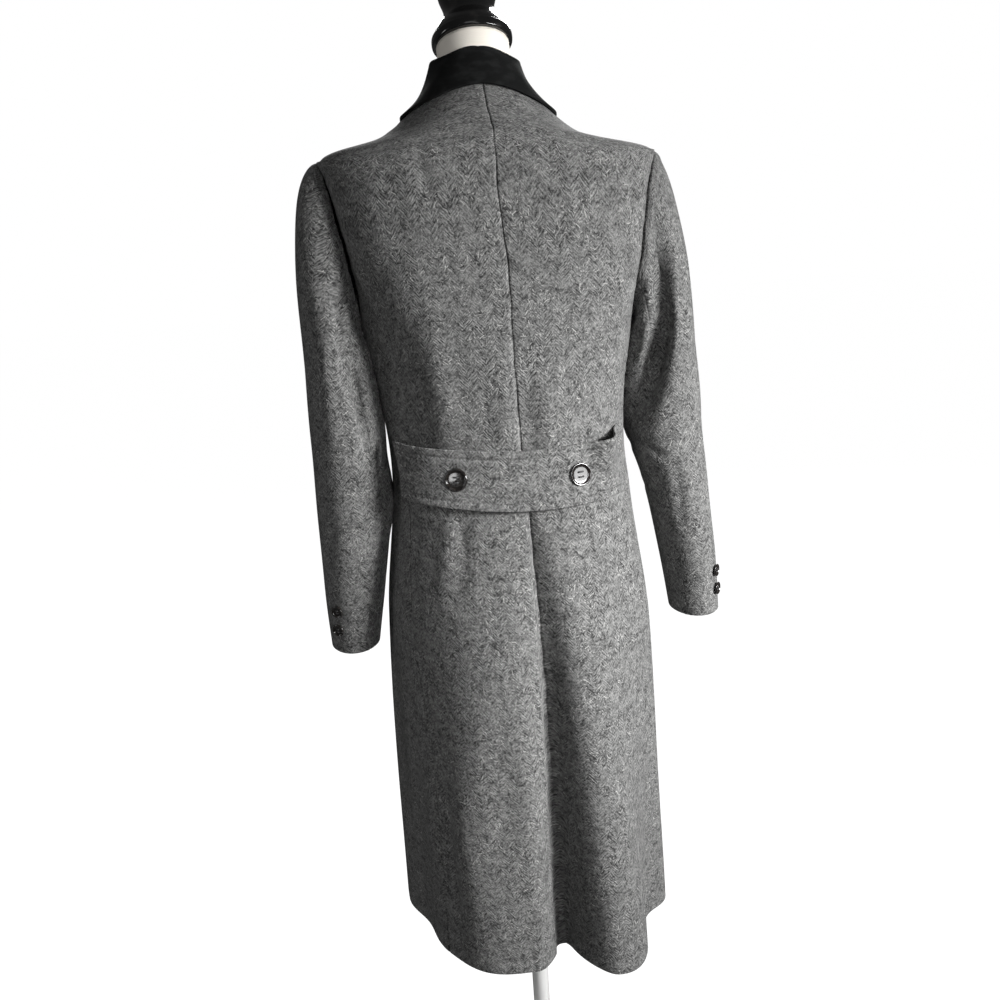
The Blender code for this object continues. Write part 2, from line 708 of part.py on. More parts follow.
def make_collar():
    rings = []
    for angle in collar_angles():
        outline = collar_profile(angle)
        rings.append([(NECK_SHIFT + r * math.cos(angle), r * math.sin(angle), z) for r, z in outline])
    return ringed("collar", rings, VELVET)


def surface_of(made):
    """Search tree over an object's faces, for laying other pieces on it."""
    return BVHTree.FromPolygons(
        [vertex.co for vertex in made.data.vertices],
        [tuple(face.vertices) for face in made.data.polygons],
    )


def laid_on(tree, x, z, lift):
    """Point over a front panel seen from the front, lifted off along its normal."""
    point, normal, _, _ = tree.ray_cast(Vector((x, -1.0, z)), Vector((0, 1, 0)))
    return np.array(point + normal * lift), np.array(normal)


def make_lapel(side, name, front):
    """Turned-back front edge laid on its front panel, from the break point up to its peak."""
    tree = surface_of(front)
    shares = np.linspace(LAPEL_START, 1, LAPEL_ROWS + 1)
    outer = np.empty((len(shares), LAPEL_COLUMNS + 1, 3))
    inner = np.empty_like(outer)
    start = np.array((-OVERLAP + ROLL_INSET, BREAK_HEIGHT))
    top = np.array(LAPEL_TOP)
    peak = np.array(LAPEL_PEAK)
    for i, share in enumerate(shares):
        roll = start + (top - start) * share
        edge = start + (peak - start) * share
        edge = edge + LAPEL_BULGE * math.sin(math.pi * share) * np.array((1, -1))
        for j, across in enumerate(np.linspace(0, 1, LAPEL_COLUMNS + 1)):
            x, height = roll + (edge - roll) * across
            shift = float(body_column("shift", level_at(height)))
            lift = LAPEL_LIFT if j else ROLL_LIFT
            point, normal = laid_on(tree, shift + side * x, HEM_HEIGHT + height, lift)
            inner[i, j] = point
            outer[i, j] = point + COAT_WALL * normal
    return shell(name, outer, inner, WOOL)


def frame_at(point, normal):
    """Placement with its Z axis along a normal."""
    turn = Vector(normal).to_track_quat("Z", "Y").to_matrix().to_4x4()
    return Matrix.Translation(Vector(point)) @ turn


def make_button(name, carrier, origin, direction, radius, thickness):
    """Turned button with a shank that stands on the cloth it is sewn to."""
    point, normal, _, _ = surface_of(carrier).ray_cast(Vector(origin), Vector(direction))
    place = frame_at(point + normal * BUTTON_SEAT, normal)
    shank = radius * SHANK_SHARE
    profile = [(shank, 0.0), (shank, SHANK_LENGTH)]
    profile += [(radius * r, SHANK_LENGTH + thickness * h) for r, h in BUTTON_OUTLINE]
    return turned(name, profile, BUTTON_SIDES, HORN, place)


def make_belt_buttons(belt):
    for side, name in ((LEFT, "belt_button_left"), (RIGHT, "belt_button_right")):
        x, _, z = body_point(math.radians(BELT_BUTTON_ANGLES[side]), level_at(BELT_MIDDLE))
        make_button(name, belt, (x, 1.0, z), (0, -1, 0), LARGE_BUTTON_RADIUS, LARGE_BUTTON_THICKNESS)


def make_front_buttons(front):
    for side, word in ((LEFT, "left"), (RIGHT, "right")):
        for k in range(FRONT_BUTTON_ROWS):
            height = HEM_HEIGHT + FRONT_BUTTON_TOP - FRONT_BUTTON_STEP * k
            origin = (side * FRONT_BUTTON_SPREAD, -1.0, height)
            name = f"front_button_{word}_{k + 1}"
            make_button(name, front, origin, (0, 1, 0), LARGE_BUTTON_RADIUS, LARGE_BUTTON_THICKNESS)


def make_cuff_buttons(side, word, sleeve):
    turn = math.radians(CUFF_BUTTON_TURNS[side])
    outward = np.array((side * math.cos(turn), math.sin(turn), 0.0))
    for k, height in enumerate(CUFF_BUTTON_HEIGHTS):
        x = side * float(sleeve_column(f"{word}_out", height))
        y = float(sleeve_column("back_shift", height))
        origin = np.array((x, y, HEM_HEIGHT + height)) + outward
        name = f"cuff_button_{word}_{k + 1}"
        make_button(name, sleeve, origin, -outward, SMALL_BUTTON_RADIUS, SMALL_BUTTON_THICKNESS)


def form_angles():
    left = back_angles(LEFT, np.array((level_of("tip"),)), np.zeros(1))[0]
    quarter = np.concatenate(((0.0,), left[FORM_COLUMN_STEP:-1:FORM_COLUMN_STEP]))
    back = np.concatenate((quarter, (np.pi / 2,), np.pi - quarter[::-1]))
    return np.concatenate((back, -back[-2:0:-1]))


def make_form_torso():
    """Limbless torso inside the coat, with a neck that leans forward."""
    angles = form_angles()
    low = np.linspace(level_at(FORM_BOTTOM), level_of("waist"), FORM_LOW_ROWS + 1)[:-1]
    middle = np.linspace(level_of("waist"), level_of("tip"), FORM_LOW_ROWS + 1)[:-1]
    shoulder = np.linspace(level_of("tip"), level_of("neck"), SHOULDER_ROWS + 1)
    rings = []
    for level in np.concatenate((low, middle, shoulder)):
        ease = body_column("ease", level) + FRONT_EASE * np.clip(-np.sin(angles), 0, 1)
        rings.append(on_body(angles, np.full_like(angles, level), -ease, folded=False))
    rings[0][:, 2] = HEM_HEIGHT + FORM_BOTTOM
    lean = math.radians(NECK_TILT)
    across = np.array((1.0, 0.0, 0.0))
    for height in np.linspace(NECK_START_HEIGHT, NECK_TOP_HEIGHT, NECK_ROWS):
        centre = np.array((NECK_SHIFT, NECK_BASE[0] - (height - NECK_BASE[1]) * math.tan(lean), height))
        backward = np.array((0.0, math.cos(lean), math.sin(lean)))
        ring = np.cos(angles)[:, None] * across + np.sin(angles)[:, None] * backward
        rings.append(centre + NECK_RADIUS * ring)
    return ringed("form_torso", rings, FORM_CLOTH)


def make_form_stand():
    """Turned cap on the neck, and a pole on a round foot under the torso."""
    lean = math.radians(NECK_TILT)
    axis = Vector((0.0, -math.sin(lean), math.cos(lean)))
    y = NECK_BASE[0] - (NECK_TOP_HEIGHT - NECK_BASE[1]) * math.tan(lean)
    seat = Vector((NECK_SHIFT, y, NECK_TOP_HEIGHT)) + axis * SEAM_GAP
    turned("form_finial", FINIAL_PROFILE, FINIAL_SIDES, BLACK_LACQUER, frame_at(seat, axis))
    turned("form_base", BASE_PROFILE, BASE_SIDES, WHITE_STEEL)
    foot = BASE_PROFILE[-1][1] + SEAM_GAP
    head = HEM_HEIGHT + FORM_BOTTOM - SEAM_GAP
    turned("form_pole", ((POLE_RADIUS, foot), (POLE_RADIUS, head)), POLE_SIDES, WHITE_STEEL)


clear_scene()
make_back(LEFT, "back_left")
make_back(RIGHT, "back_right")
front_under = make_front(LEFT, "front_left")
front_over = make_front(RIGHT, "front_right")
make_lapel(LEFT, "lapel_left", front_under)
make_lapel(RIGHT, "lapel_right", front_over)
make_front_buttons(front_over)
sleeve_left = make_sleeve(LEFT, "sleeve_left")
sleeve_right = make_sleeve(RIGHT, "sleeve_right")
make_cuff_buttons(LEFT, "left", sleeve_left)
make_cuff_buttons(RIGHT, "right", sleeve_right)
make_belt_buttons(make_belt())
make_collar()
make_form_torso()
make_form_stand()
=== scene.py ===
"""Looks of a double-breasted long coat of herringbone wool with a velvet collar, worn by a dress form.

Units are metres and +Z is up. The coat faces -Y, so +X is the wearer's left.
The camera stands behind the coat.
Angles run round the body from the wearer's left (0) over the back (90) and the right (180)
to the front (270). A level is a distance along the coat's side outline, from hem to neck.
"""

import math
from collections import namedtuple

import bmesh
import bpy
import numpy as np
from mathutils import Matrix, Vector
from mathutils.bvhtree import BVHTree


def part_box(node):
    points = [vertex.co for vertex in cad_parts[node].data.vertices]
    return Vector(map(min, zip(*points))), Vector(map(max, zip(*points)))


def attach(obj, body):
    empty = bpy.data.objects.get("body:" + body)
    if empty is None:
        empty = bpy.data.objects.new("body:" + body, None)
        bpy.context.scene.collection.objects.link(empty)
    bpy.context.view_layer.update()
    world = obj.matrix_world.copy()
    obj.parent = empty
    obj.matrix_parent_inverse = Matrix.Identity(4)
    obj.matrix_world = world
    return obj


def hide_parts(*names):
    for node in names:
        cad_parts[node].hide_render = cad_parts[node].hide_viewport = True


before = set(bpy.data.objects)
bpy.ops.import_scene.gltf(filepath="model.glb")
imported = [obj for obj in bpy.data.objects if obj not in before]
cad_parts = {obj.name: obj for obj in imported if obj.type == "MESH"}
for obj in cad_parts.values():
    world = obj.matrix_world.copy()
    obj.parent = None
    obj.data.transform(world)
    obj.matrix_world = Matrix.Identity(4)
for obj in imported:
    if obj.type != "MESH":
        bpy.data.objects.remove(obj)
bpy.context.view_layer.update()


# Foot and pole of the dress form.
# A turned steel foot and a straight steel tube, both powder-coated white.
# The tube stands in the foot's hub and carries the torso at its upper end.
POWDER_WHITE = (0.78, 0.78, 0.77, 1.0)
POWDER_SHADE = (0.70, 0.70, 0.69, 1.0)
POWDER_ROUGHNESS = (0.34, 0.46)
MOTTLE_SPAN = (0.3, 0.7)
TURNED_SIDES = 96
EDGE_ROUNDS = 3
CORNER_CUT = 0.25
FOOT_HUB_SHARE = 0.18
FOOT_RIM_HEIGHTS = (0.004, 0.011, 0.016)
FOOT_RIM_INSET = 0.004
FOOT_DISH_HEIGHT = 0.021
POLE_EDGE = 0.0015

# Places of the colour sockets on a mix node
MIX_FACTOR = 0
MIX_FIRST = 6
MIX_SECOND = 7
MIX_RESULT = 2


def feed(tree, node, inputs):
    """Inputs of a node, each a value or another node's output."""
    for socket, value in inputs.items():
        if isinstance(value, bpy.types.NodeSocket):
            tree.links.new(value, node.inputs[socket])
        else:
            node.inputs[socket].default_value = value


def put(tree, kind, inputs=None, **settings):
    """New node with its settings and inputs."""
    made = tree.nodes.new(kind)
    for name, value in settings.items():
        setattr(made, name, value)
    feed(tree, made, inputs or {})
    return made


def maths(tree, operation, *values):
    """Output of a maths node on values or other outputs."""
    return put(tree, "ShaderNodeMath", dict(enumerate(values)), operation=operation).outputs[0]


def total(tree, first, *others):
    """Sum of values or outputs."""
    for other in others:
        first = maths(tree, "ADD", first, other)
    return first


def product(tree, first, *others):
    """Product of values or outputs."""
    for other in others:
        first = maths(tree, "MULTIPLY", first, other)
    return first


def mixed(tree, factor, first, second):
    """Colour between two colours."""
    inputs = {MIX_FACTOR: factor, MIX_FIRST: first, MIX_SECOND: second}
    return put(tree, "ShaderNodeMix", inputs, data_type="RGBA").outputs[MIX_RESULT]


def ranged(tree, value, low, high, to_low=0.0, to_high=1.0, smooth=False):
    """Value taken from one range to another."""
    kind = "SMOOTHSTEP" if smooth else "LINEAR"
    sizes = {"Value": value, "From Min": low, "From Max": high, "To Min": to_low, "To Max": to_high}
    return put(tree, "ShaderNodeMapRange", sizes, interpolation_type=kind).outputs["Result"]


def between(tree, cloud, low, high):
    """Cloudy variation taken to values from low to high."""
    return ranged(tree, cloud, *MOTTLE_SPAN, low, high)


def shader_group(name, vectors, numbers, results):
    """Empty node group with vector and number inputs and number outputs, with its two end nodes."""
    tree = bpy.data.node_groups.new(name, "ShaderNodeTree")
    for socket in vectors:
        tree.interface.new_socket(socket, in_out="INPUT", socket_type="NodeSocketVector")
    for socket in numbers:
        tree.interface.new_socket(socket, in_out="INPUT", socket_type="NodeSocketFloat")
    for socket in results:
        tree.interface.new_socket(socket, in_out="OUTPUT", socket_type="NodeSocketFloat")
    return tree, tree.nodes.new("NodeGroupInput"), tree.nodes.new("NodeGroupOutput")


def make_mottle_group():
    """Cloudy variation, stretched by a scale for each axis, as a value about one half."""
    tree, given, result = shader_group("Mottle", ("Vector", "Scale"), ("Detail",), ("Value",))
    sizes = {0: given.outputs["Vector"], 1: given.outputs["Scale"]}
    scaled = put(tree, "ShaderNodeVectorMath", sizes, operation="MULTIPLY").outputs[0]
    sizes = {"Vector": scaled, "Scale": 1.0, "Detail": given.outputs["Detail"]}
    feed(tree, result, {"Value": put(tree, "ShaderNodeTexNoise", sizes).outputs["Fac"]})
    return tree


MOTTLE = make_mottle_group()


def mottled(tree, vector, scale, detail=2.0):
    """Cloudy variation at a scale per metre, one for all axes or one for each."""
    inputs = {"Vector": vector, "Scale": np.broadcast_to(scale, 3).tolist(), "Detail": detail}
    return put(tree, "ShaderNodeGroup", inputs, node_tree=MOTTLE).outputs["Value"]


def new_material(name, mapped=False):
    """Material, its node tree and surface shader, and the place on the object or on its cloth's map."""
    made = bpy.data.materials.new(name)
    made.use_nodes = True
    tree = made.node_tree
    if mapped:
        place = put(tree, "ShaderNodeUVMap", uv_map="cloth").outputs["UV"]
    else:
        place = put(tree, "ShaderNodeTexCoord").outputs["Object"]
    return made, tree, tree.nodes["Principled BSDF"], place


def bumped(tree, shader, height, distance, strength=1.0):
    """Relief of a surface from a height that changes over it."""
    sizes = {"Height": height, "Distance": distance, "Strength": strength}
    feed(tree, shader, {"Normal": put(tree, "ShaderNodeBump", sizes).outputs["Normal"]})


def make_powder_coat():
    made, tree, shader, place = new_material("white_powder_coat")
    peel = mottled(tree, place, scale=520, detail=1.0)
    cloud = mottled(tree, place, scale=9, detail=3.0)
    colour = mixed(tree, cloud, POWDER_SHADE, POWDER_WHITE)
    feed(tree, shader, {"Base Color": colour, "Roughness": between(tree, cloud, *POWDER_ROUGHNESS)})
    bumped(tree, shader, peel, distance=0.0002, strength=0.35)
    return made


def add_piece(name, points, faces, material, slot, replaced=()):
    """Smooth mesh that rides on the part, with its finish and the solids that it stands for."""
    mesh = bpy.data.meshes.new(name)
    mesh.from_pydata(np.asarray(points).tolist(), [], faces)
    work = bmesh.new()
    work.from_mesh(mesh)
    bmesh.ops.recalc_face_normals(work, faces=work.faces[:])
    work.to_mesh(mesh)
    work.free()
    mesh.shade_smooth()
    mesh.materials.append(material)
    piece = bpy.data.objects.new(name, mesh)
    bpy.context.scene.collection.objects.link(piece)
    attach(piece, "root")
    if replaced:
        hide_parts(*replaced)
    return piece


def eased(outline, rounds=EDGE_ROUNDS):
    """Outline with its corners cut again and again, so that its edges are rounded."""
    line = np.asarray(outline, float)
    for _ in range(rounds):
        near = (1 - CORNER_CUT) * line[:-1] + CORNER_CUT * line[1:]
        far = CORNER_CUT * line[:-1] + (1 - CORNER_CUT) * line[1:]
        cut = np.stack((near, far), axis=1).reshape(-1, 2)
        line = np.concatenate((line[:1], cut, line[-1:]))
    return line


def tube_sides(rings, sides):
    """Faces between rings of points, each ring joined to the next."""
    faces = []
    for i in range(rings - 1):
        for j in range(sides):
            k = (j + 1) % sides
            faces.append((i * sides + j, i * sides + k, (i + 1) * sides + k, (i + 1) * sides + j))
    return faces


def turned(outline, sides=TURNED_SIDES):
    """Points and faces of an outline of radius and height turned about Z, closed on the axis."""
    steps = np.linspace(0, 2 * np.pi, sides, endpoint=False)
    body = [(r, z) for r, z in outline if r > 0]
    rings = []
    for r, z in body:
        rings.append(np.stack((r * np.cos(steps), r * np.sin(steps), np.full(sides, z)), axis=-1))
    low, high = len(body) * sides, len(body) * sides + 1
    points = np.concatenate(rings + [[(0, 0, outline[0][1])], [(0, 0, outline[-1][1])]])
    faces = tube_sides(len(body), sides)
    last = (len(body) - 1) * sides
    for j in range(sides):
        k = (j + 1) % sides
        faces.append((low, k, j))
        faces.append((high, last + j, last + k))
    return points, faces


powder_coat = make_powder_coat()
_, foot_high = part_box("form_base")
foot_radius = foot_high.x
hub_radius = foot_radius * FOOT_HUB_SHARE
foot_outline = (
    (0.0, 0.0),
    (foot_radius - FOOT_RIM_INSET, 0.0),
    (foot_radius, FOOT_RIM_HEIGHTS[0]),
    (foot_radius, FOOT_RIM_HEIGHTS[1]),
    (foot_radius - 2 * FOOT_RIM_INSET, FOOT_RIM_HEIGHTS[2]),
    (hub_radius + 2 * FOOT_RIM_INSET, FOOT_DISH_HEIGHT),
    (hub_radius, foot_high.z),
    (0.0, foot_high.z),
)
add_piece("foot", *turned(eased(foot_outline)), powder_coat, "white_steel", ["form_base"])

pole_low, pole_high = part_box("form_pole")
pole_radius = pole_high.x
pole_outline = (
    (0.0, pole_low.z),
    (pole_radius - POLE_EDGE, pole_low.z),
    (pole_radius, pole_low.z + POLE_EDGE),
    (pole_radius, pole_high.z - POLE_EDGE),
    (pole_radius - POLE_EDGE, pole_high.z),
    (0.0, pole_high.z),
)
add_piece("pole", *turned(pole_outline), powder_coat, "white_steel", ["form_pole"])


# Torso of the dress form.
# A moulded limbless torso with a cover of fine cream jersey, pulled smooth and tucked under below.
# It follows the coat's sections from within; heights are above the hem, ease is the room between.
# shift moves a section to the wearer's left and slant lifts its left side: the coat hangs askew.
HEM_HEIGHT = 0.410
LEFT = 1
RIGHT = -1
SECTION_COLUMNS = "place height half_width shift slant back front back_lift front_drop square ease"
Section = namedtuple("Section", SECTION_COLUMNS)
SECTIONS = (
    Section("hem", 0.000, 0.190, 0.000, 0.080, 0.190, 0.188, 0.000, 0.000, 2.10, 0.060),
    Section("knee", 0.200, 0.186, -0.001, 0.079, 0.182, 0.178, 0.000, 0.000, 2.10, 0.045),
    Section("hip", 0.440, 0.176, -0.003, 0.070, 0.163, 0.158, -0.006, 0.000, 2.15, 0.025),
    Section("belt_low", 0.608, 0.156, -0.004, 0.052, 0.131, 0.130, -0.010, 0.000, 2.20, 0.013),
    Section("waist", 0.665, 0.153, -0.002, 0.044, 0.122, 0.125, -0.010, 0.000, 2.20, 0.008),
    Section("ribs", 0.750, 0.158, 0.000, 0.028, 0.120, 0.134, -0.006, 0.000, 2.25, 0.008),
    Section("underarm", 0.823, 0.168, 0.000, 0.014, 0.119, 0.138, 0.000, 0.000, 2.50, 0.008),
    Section("blade", 0.920, 0.187, -0.002, 0.016, 0.111, 0.118, 0.005, 0.000, 3.00, 0.007),
    Section("tip", 1.0235, 0.2055, 0.000, 0.026, 0.092, 0.082, 0.020, 0.000, 2.70, 0.0050),
    Section("slope", 1.047, 0.124, 0.005, 0.042, 0.079, 0.075, 0.028, 0.010, 2.20, 0.0045),
    Section("neck", 1.093, 0.064, 0.006, 0.040, 0.056, 0.060, 0.021, 0.020, 2.00, 0.0033),
)

# Soft folds grow from their top height down to the hem; depth is at the hem, outward positive.
BACK_SEAM_LEAN = 7
Fold = namedtuple("Fold", "place angle spread depth top")
CENTRE_BACK_HOLLOW = Fold("centre_back_hollow", 90 + BACK_SEAM_LEAN, 14, -0.042, 0.60)
FOLDS = (
    CENTRE_BACK_HOLLOW,
    Fold("back_left_ridge", 64, 24, 0.014, 0.56),
    Fold("back_right_ridge", 116, 23, 0.034, 0.56),
    Fold("right_side_hollow", 147, 18, -0.020, 0.45),
    Fold("left_side_hollow", 26, 20, -0.014, 0.45),
    Fold("left_side_drop", 5, 40, -0.006, 0.55),
    Fold("front_left_ridge", 318, 22, 0.010, 0.50),
    Fold("front_right_ridge", 222, 22, 0.010, 0.50),
)
TIP_DROP = {LEFT: 0.0036, RIGHT: 0.0026}
TIP_DROP_REACH = 0.010
TINY = 1e-4
FINE_STEPS = 2000

FORM_BOTTOM = 0.380
FORM_FRONT_EASE = 0.004
FORM_WAIST_EASE = 0.0105
FORM_WAIST = (0.620, 0.300)
FORM_WAIST_AT_SIDES = 0.2
FORM_LOW_RINGS = 60
FORM_SHOULDER_RINGS = 30
FORM_SIDES = 120
FORM_BOTTOM_ROUND = 0.006
NECK_SHIFT = SECTIONS[-1].shift
NECK_RADIUS = 0.0440
FORM_MAP_RADIUS = 3 * NECK_RADIUS
NECK_BASE = (0.006, 1.500)
NECK_HEIGHTS = (1.512, 1.562)
NECK_RINGS = 14
NECK_TILT = math.radians(22)
JERSEY_CREAM = (0.90, 0.840, 0.740, 1.0)
JERSEY_PALE = (0.96, 0.920, 0.850, 1.0)
JERSEY_ROUGHNESS = (0.72, 0.86)
JERSEY_WALE = 0.0011
KNIT_SHARE = 0.35


def smooth_column(place, knots, values):
    """Cubic through a table's column that keeps between neighbouring values."""
    knots = np.asarray(knots, float)
    values = np.asarray(values, float)
    steps = np.diff(knots)
    slopes = np.diff(values) / steps
    before, after = slopes[:-1], slopes[1:]
    same_way = before * after > 0
    weight_before = 2 * steps[1:] + steps[:-1]
    weight_after = steps[1:] + 2 * steps[:-1]
    safe_before = np.where(same_way, before, 1.0)
    safe_after = np.where(same_way, after, 1.0)
    mean = (weight_before + weight_after) / (weight_before / safe_before + weight_after / safe_after)
    tangents = np.concatenate((slopes[:1], np.where(same_way, mean, 0.0), slopes[-1:]))
    place = np.clip(place, knots[0], knots[-1])
    k = np.clip(np.searchsorted(knots, place, side="right") - 1, 0, len(steps) - 1)
    h = steps[k]
    t = (place - knots[k]) / h
    start = (1 + 2 * t) * (1 - t) ** 2 * values[k] + t * (1 - t) ** 2 * h * tangents[k]
    end = t * t * (3 - 2 * t) * values[k + 1] - t * t * (1 - t) * h * tangents[k + 1]
    return start + end


def wrapped(degrees):
    """Angle between -180 and 180 degrees."""
    return (degrees + 180) % 360 - 180


def bell(offset):
    """Smooth hump from 0 at -1 to 1 in the middle and 0 at 1."""
    return 0.5 + 0.5 * np.cos(np.pi * np.clip(offset, -1, 1))


def rise(value, low, high):
    """Smooth step from 0 at low to 1 at high."""
    t = np.clip((value - low) / (high - low), 0, 1)
    return t * t * (3 - 2 * t)


def unit(vectors):
    return vectors / np.linalg.norm(vectors, axis=-1, keepdims=True)


def row_lengths(points):
    """Distance along each row of points from its first point."""
    steps = np.linalg.norm(np.diff(points, axis=1), axis=-1)
    return np.concatenate((np.zeros((len(points), 1)), np.cumsum(steps, axis=1)), axis=1)


SIDE_OUTLINE = [(row.half_width, row.height) for row in SECTIONS]
LEVELS = row_lengths(np.array([SIDE_OUTLINE]))[0]
PLACES = [row.place for row in SECTIONS]
TOP_HEIGHT = SECTIONS[-1].height


def level_of(place):
    return LEVELS[PLACES.index(place)]


def height_of(place):
    return SECTIONS[PLACES.index(place)].height


def section_column(column, level):
    return smooth_column(level, LEVELS, [getattr(row, column) for row in SECTIONS])


def level_at(height):
    """Level whose section lies at a height above the hem."""
    fine = np.linspace(LEVELS[0], LEVELS[-1], FINE_STEPS)
    return np.interp(height, section_column("height", fine), fine)


def fold_depth(angle, height):
    """How far the folds move the cloth outward."""
    moved = 0.0
    lean = BACK_SEAM_LEAN * np.clip(height / TOP_HEIGHT, 0, 1)
    for fold in FOLDS:
        turned_back = lean if fold is CENTRE_BACK_HOLLOW else 0.0
        away = wrapped(np.degrees(angle) - fold.angle + turned_back)
        moved = moved + fold.depth * np.clip(1 - height / fold.top, 0, 1) * bell(away / fold.spread)
    return moved


def body_radius(angle, level, folded=True):
    """Distance of the coat's outer surface from the axis."""
    across, along = np.cos(angle), np.sin(angle)
    depth = np.where(along >= 0, section_column("back", level), section_column("front", level))
    power = section_column("square", level)
    wide = np.abs(across / section_column("half_width", level)) ** power
    radius = (wide + np.abs(along / depth) ** power) ** (-1 / power)
    if folded:
        radius = radius + fold_depth(angle, section_column("height", level))
    return radius


def body_point(angle, level, folded=True):
    """Point of the coat's outer surface."""
    angle, level = np.broadcast_arrays(angle, level)
    across, along = np.cos(angle), np.sin(angle)
    radius = body_radius(angle, level, folded)
    tilt = np.where(along >= 0, section_column("back_lift", level), -section_column("front_drop", level))
    height = section_column("height", level)
    slant = section_column("slant", level)
    if not folded:
        slant = slant * rise(height, height_of("underarm"), height_of("blade"))
    x = radius * across
    z = HEM_HEIGHT + height + tilt * along**2 + slant * x
    return np.stack((x + section_column("shift", level), radius * along, z), axis=-1)


def body_normal(angle, level, folded=True):
    low = np.clip(level - TINY, LEVELS[0], LEVELS[-1])
    high = np.clip(level + TINY, LEVELS[0], LEVELS[-1])
    round_step = body_point(angle + TINY, level, folded) - body_point(angle - TINY, level, folded)
    up_step = body_point(angle, high, folded) - body_point(angle, low, folded)
    return unit(np.cross(round_step, up_step))


def on_body(angle, level, out=0.0, folded=True):
    """Point of the coat's outer surface moved outward by a distance."""
    out = np.asarray(out, float)[..., None]
    return body_point(angle, level, folded) + out * body_normal(angle, level, folded)


def tip_drop(angle, level):
    """How far the cloth and the form sink inside each shoulder's tip, to run on into the sleeve."""
    past = np.clip(level - level_of("tip"), 0, None) / TIP_DROP_REACH
    depth = np.where(np.cos(angle) >= 0, TIP_DROP[LEFT], TIP_DROP[RIGHT])
    return -depth * np.cos(angle) ** 2 * past * np.exp(1 - past)


def tube_faces(rings, sides):
    """Faces of a tube through rings of points, with a flat cap at each end."""
    first, last = tuple(range(sides))[::-1], tuple(range((rings - 1) * sides, rings * sides))
    return tube_sides(rings, sides) + [first, last]


def lay_uv(piece, uv):
    """Map of a piece's cloth in metres, from a place for each of its points."""
    layer = piece.data.uv_layers.new(name="cloth")
    corners = np.empty(len(piece.data.loops), np.int32)
    piece.data.loops.foreach_get("vertex_index", corners)
    layer.data.foreach_set("uv", np.asarray(uv, np.float32)[corners].ravel())


def make_jersey():
    """Knitted cover with fine upright wales that follow the form."""
    made, tree, shader, place = new_material("cream_jersey", mapped=True)
    x, y, _ = put(tree, "ShaderNodeSeparateXYZ", {0: place}).outputs
    wale = maths(tree, "PINGPONG", x, JERSEY_WALE)
    course = maths(tree, "PINGPONG", y, JERSEY_WALE)
    knit = maths(tree, "DIVIDE", total(tree, wale, course), 2 * JERSEY_WALE)
    cloud = mottled(tree, place, scale=28, detail=4.0)
    shade = total(tree, product(tree, knit, KNIT_SHARE), product(tree, cloud, 1 - KNIT_SHARE))
    shading = {
        "Base Color": mixed(tree, shade, JERSEY_CREAM, JERSEY_PALE),
        "Roughness": between(tree, cloud, *JERSEY_ROUGHNESS),
        "Sheen Weight": 0.15,
    }
    feed(tree, shader, shading)
    bumped(tree, shader, knit, distance=0.0002, strength=0.5)
    return made


def neck_centre(height):
    """Middle of the leaning neck at a height, as a distance behind the body's axis."""
    return NECK_BASE[0] - (height - NECK_BASE[1]) * math.tan(NECK_TILT)


def torso_rings():
    """Rings of the torso from its tucked lower edge up to the top of the neck."""
    angles = np.linspace(0, 2 * np.pi, FORM_SIDES, endpoint=False)
    low = np.linspace(level_at(FORM_BOTTOM), level_of("tip"), FORM_LOW_RINGS)[:-1]
    shoulder = np.linspace(level_of("tip"), level_of("neck"), FORM_SHOULDER_RINGS)
    rings = []
    for level in np.concatenate((low, shoulder)):
        ease = section_column("ease", level) + FORM_FRONT_EASE * np.clip(-np.sin(angles), 0, 1)
        height, spread = section_column("height", level) - FORM_WAIST[0], FORM_WAIST[1]
        to_back = np.clip(np.sin(angles) + FORM_WAIST_AT_SIDES, 0, 1)
        ease = ease + FORM_WAIST_EASE * bell(height / spread) * to_back
        out = tip_drop(angles, level) - ease
        rings.append(on_body(angles, np.full_like(angles, level), out, folded=False))
    rings[0][:, 2] = HEM_HEIGHT + FORM_BOTTOM
    tucked = rings[0].copy()
    rings[0][:, 2] += FORM_BOTTOM_ROUND / 2
    tucked[:, :2] *= 1 - FORM_BOTTOM_ROUND / np.linalg.norm(tucked[:, :2], axis=1, keepdims=True)
    across = np.array((1.0, 0.0, 0.0))
    backward = np.array((0.0, math.cos(NECK_TILT), math.sin(NECK_TILT)))
    for height in np.linspace(*NECK_HEIGHTS, NECK_RINGS):
        centre = np.array((NECK_SHIFT, neck_centre(height), height))
        ring = np.cos(angles)[:, None] * across + np.sin(angles)[:, None] * backward
        rings.append(centre + NECK_RADIUS * ring)
    return np.array([tucked] + rings)


torso = torso_rings()
torso_piece = add_piece(
    "torso_cover",
    torso.reshape(-1, 3),
    tube_faces(len(torso), FORM_SIDES),
    make_jersey(),
    "form_cloth",
    ["form_torso"],
)
torso_round = np.linspace(0, 2 * np.pi * FORM_MAP_RADIUS, FORM_SIDES)
torso_up = row_lengths(torso[None, :, 0])[0]
torso_map = np.stack(np.meshgrid(torso_round, torso_up), axis=-1)
lay_uv(torso_piece, torso_map.reshape(-1, 2))


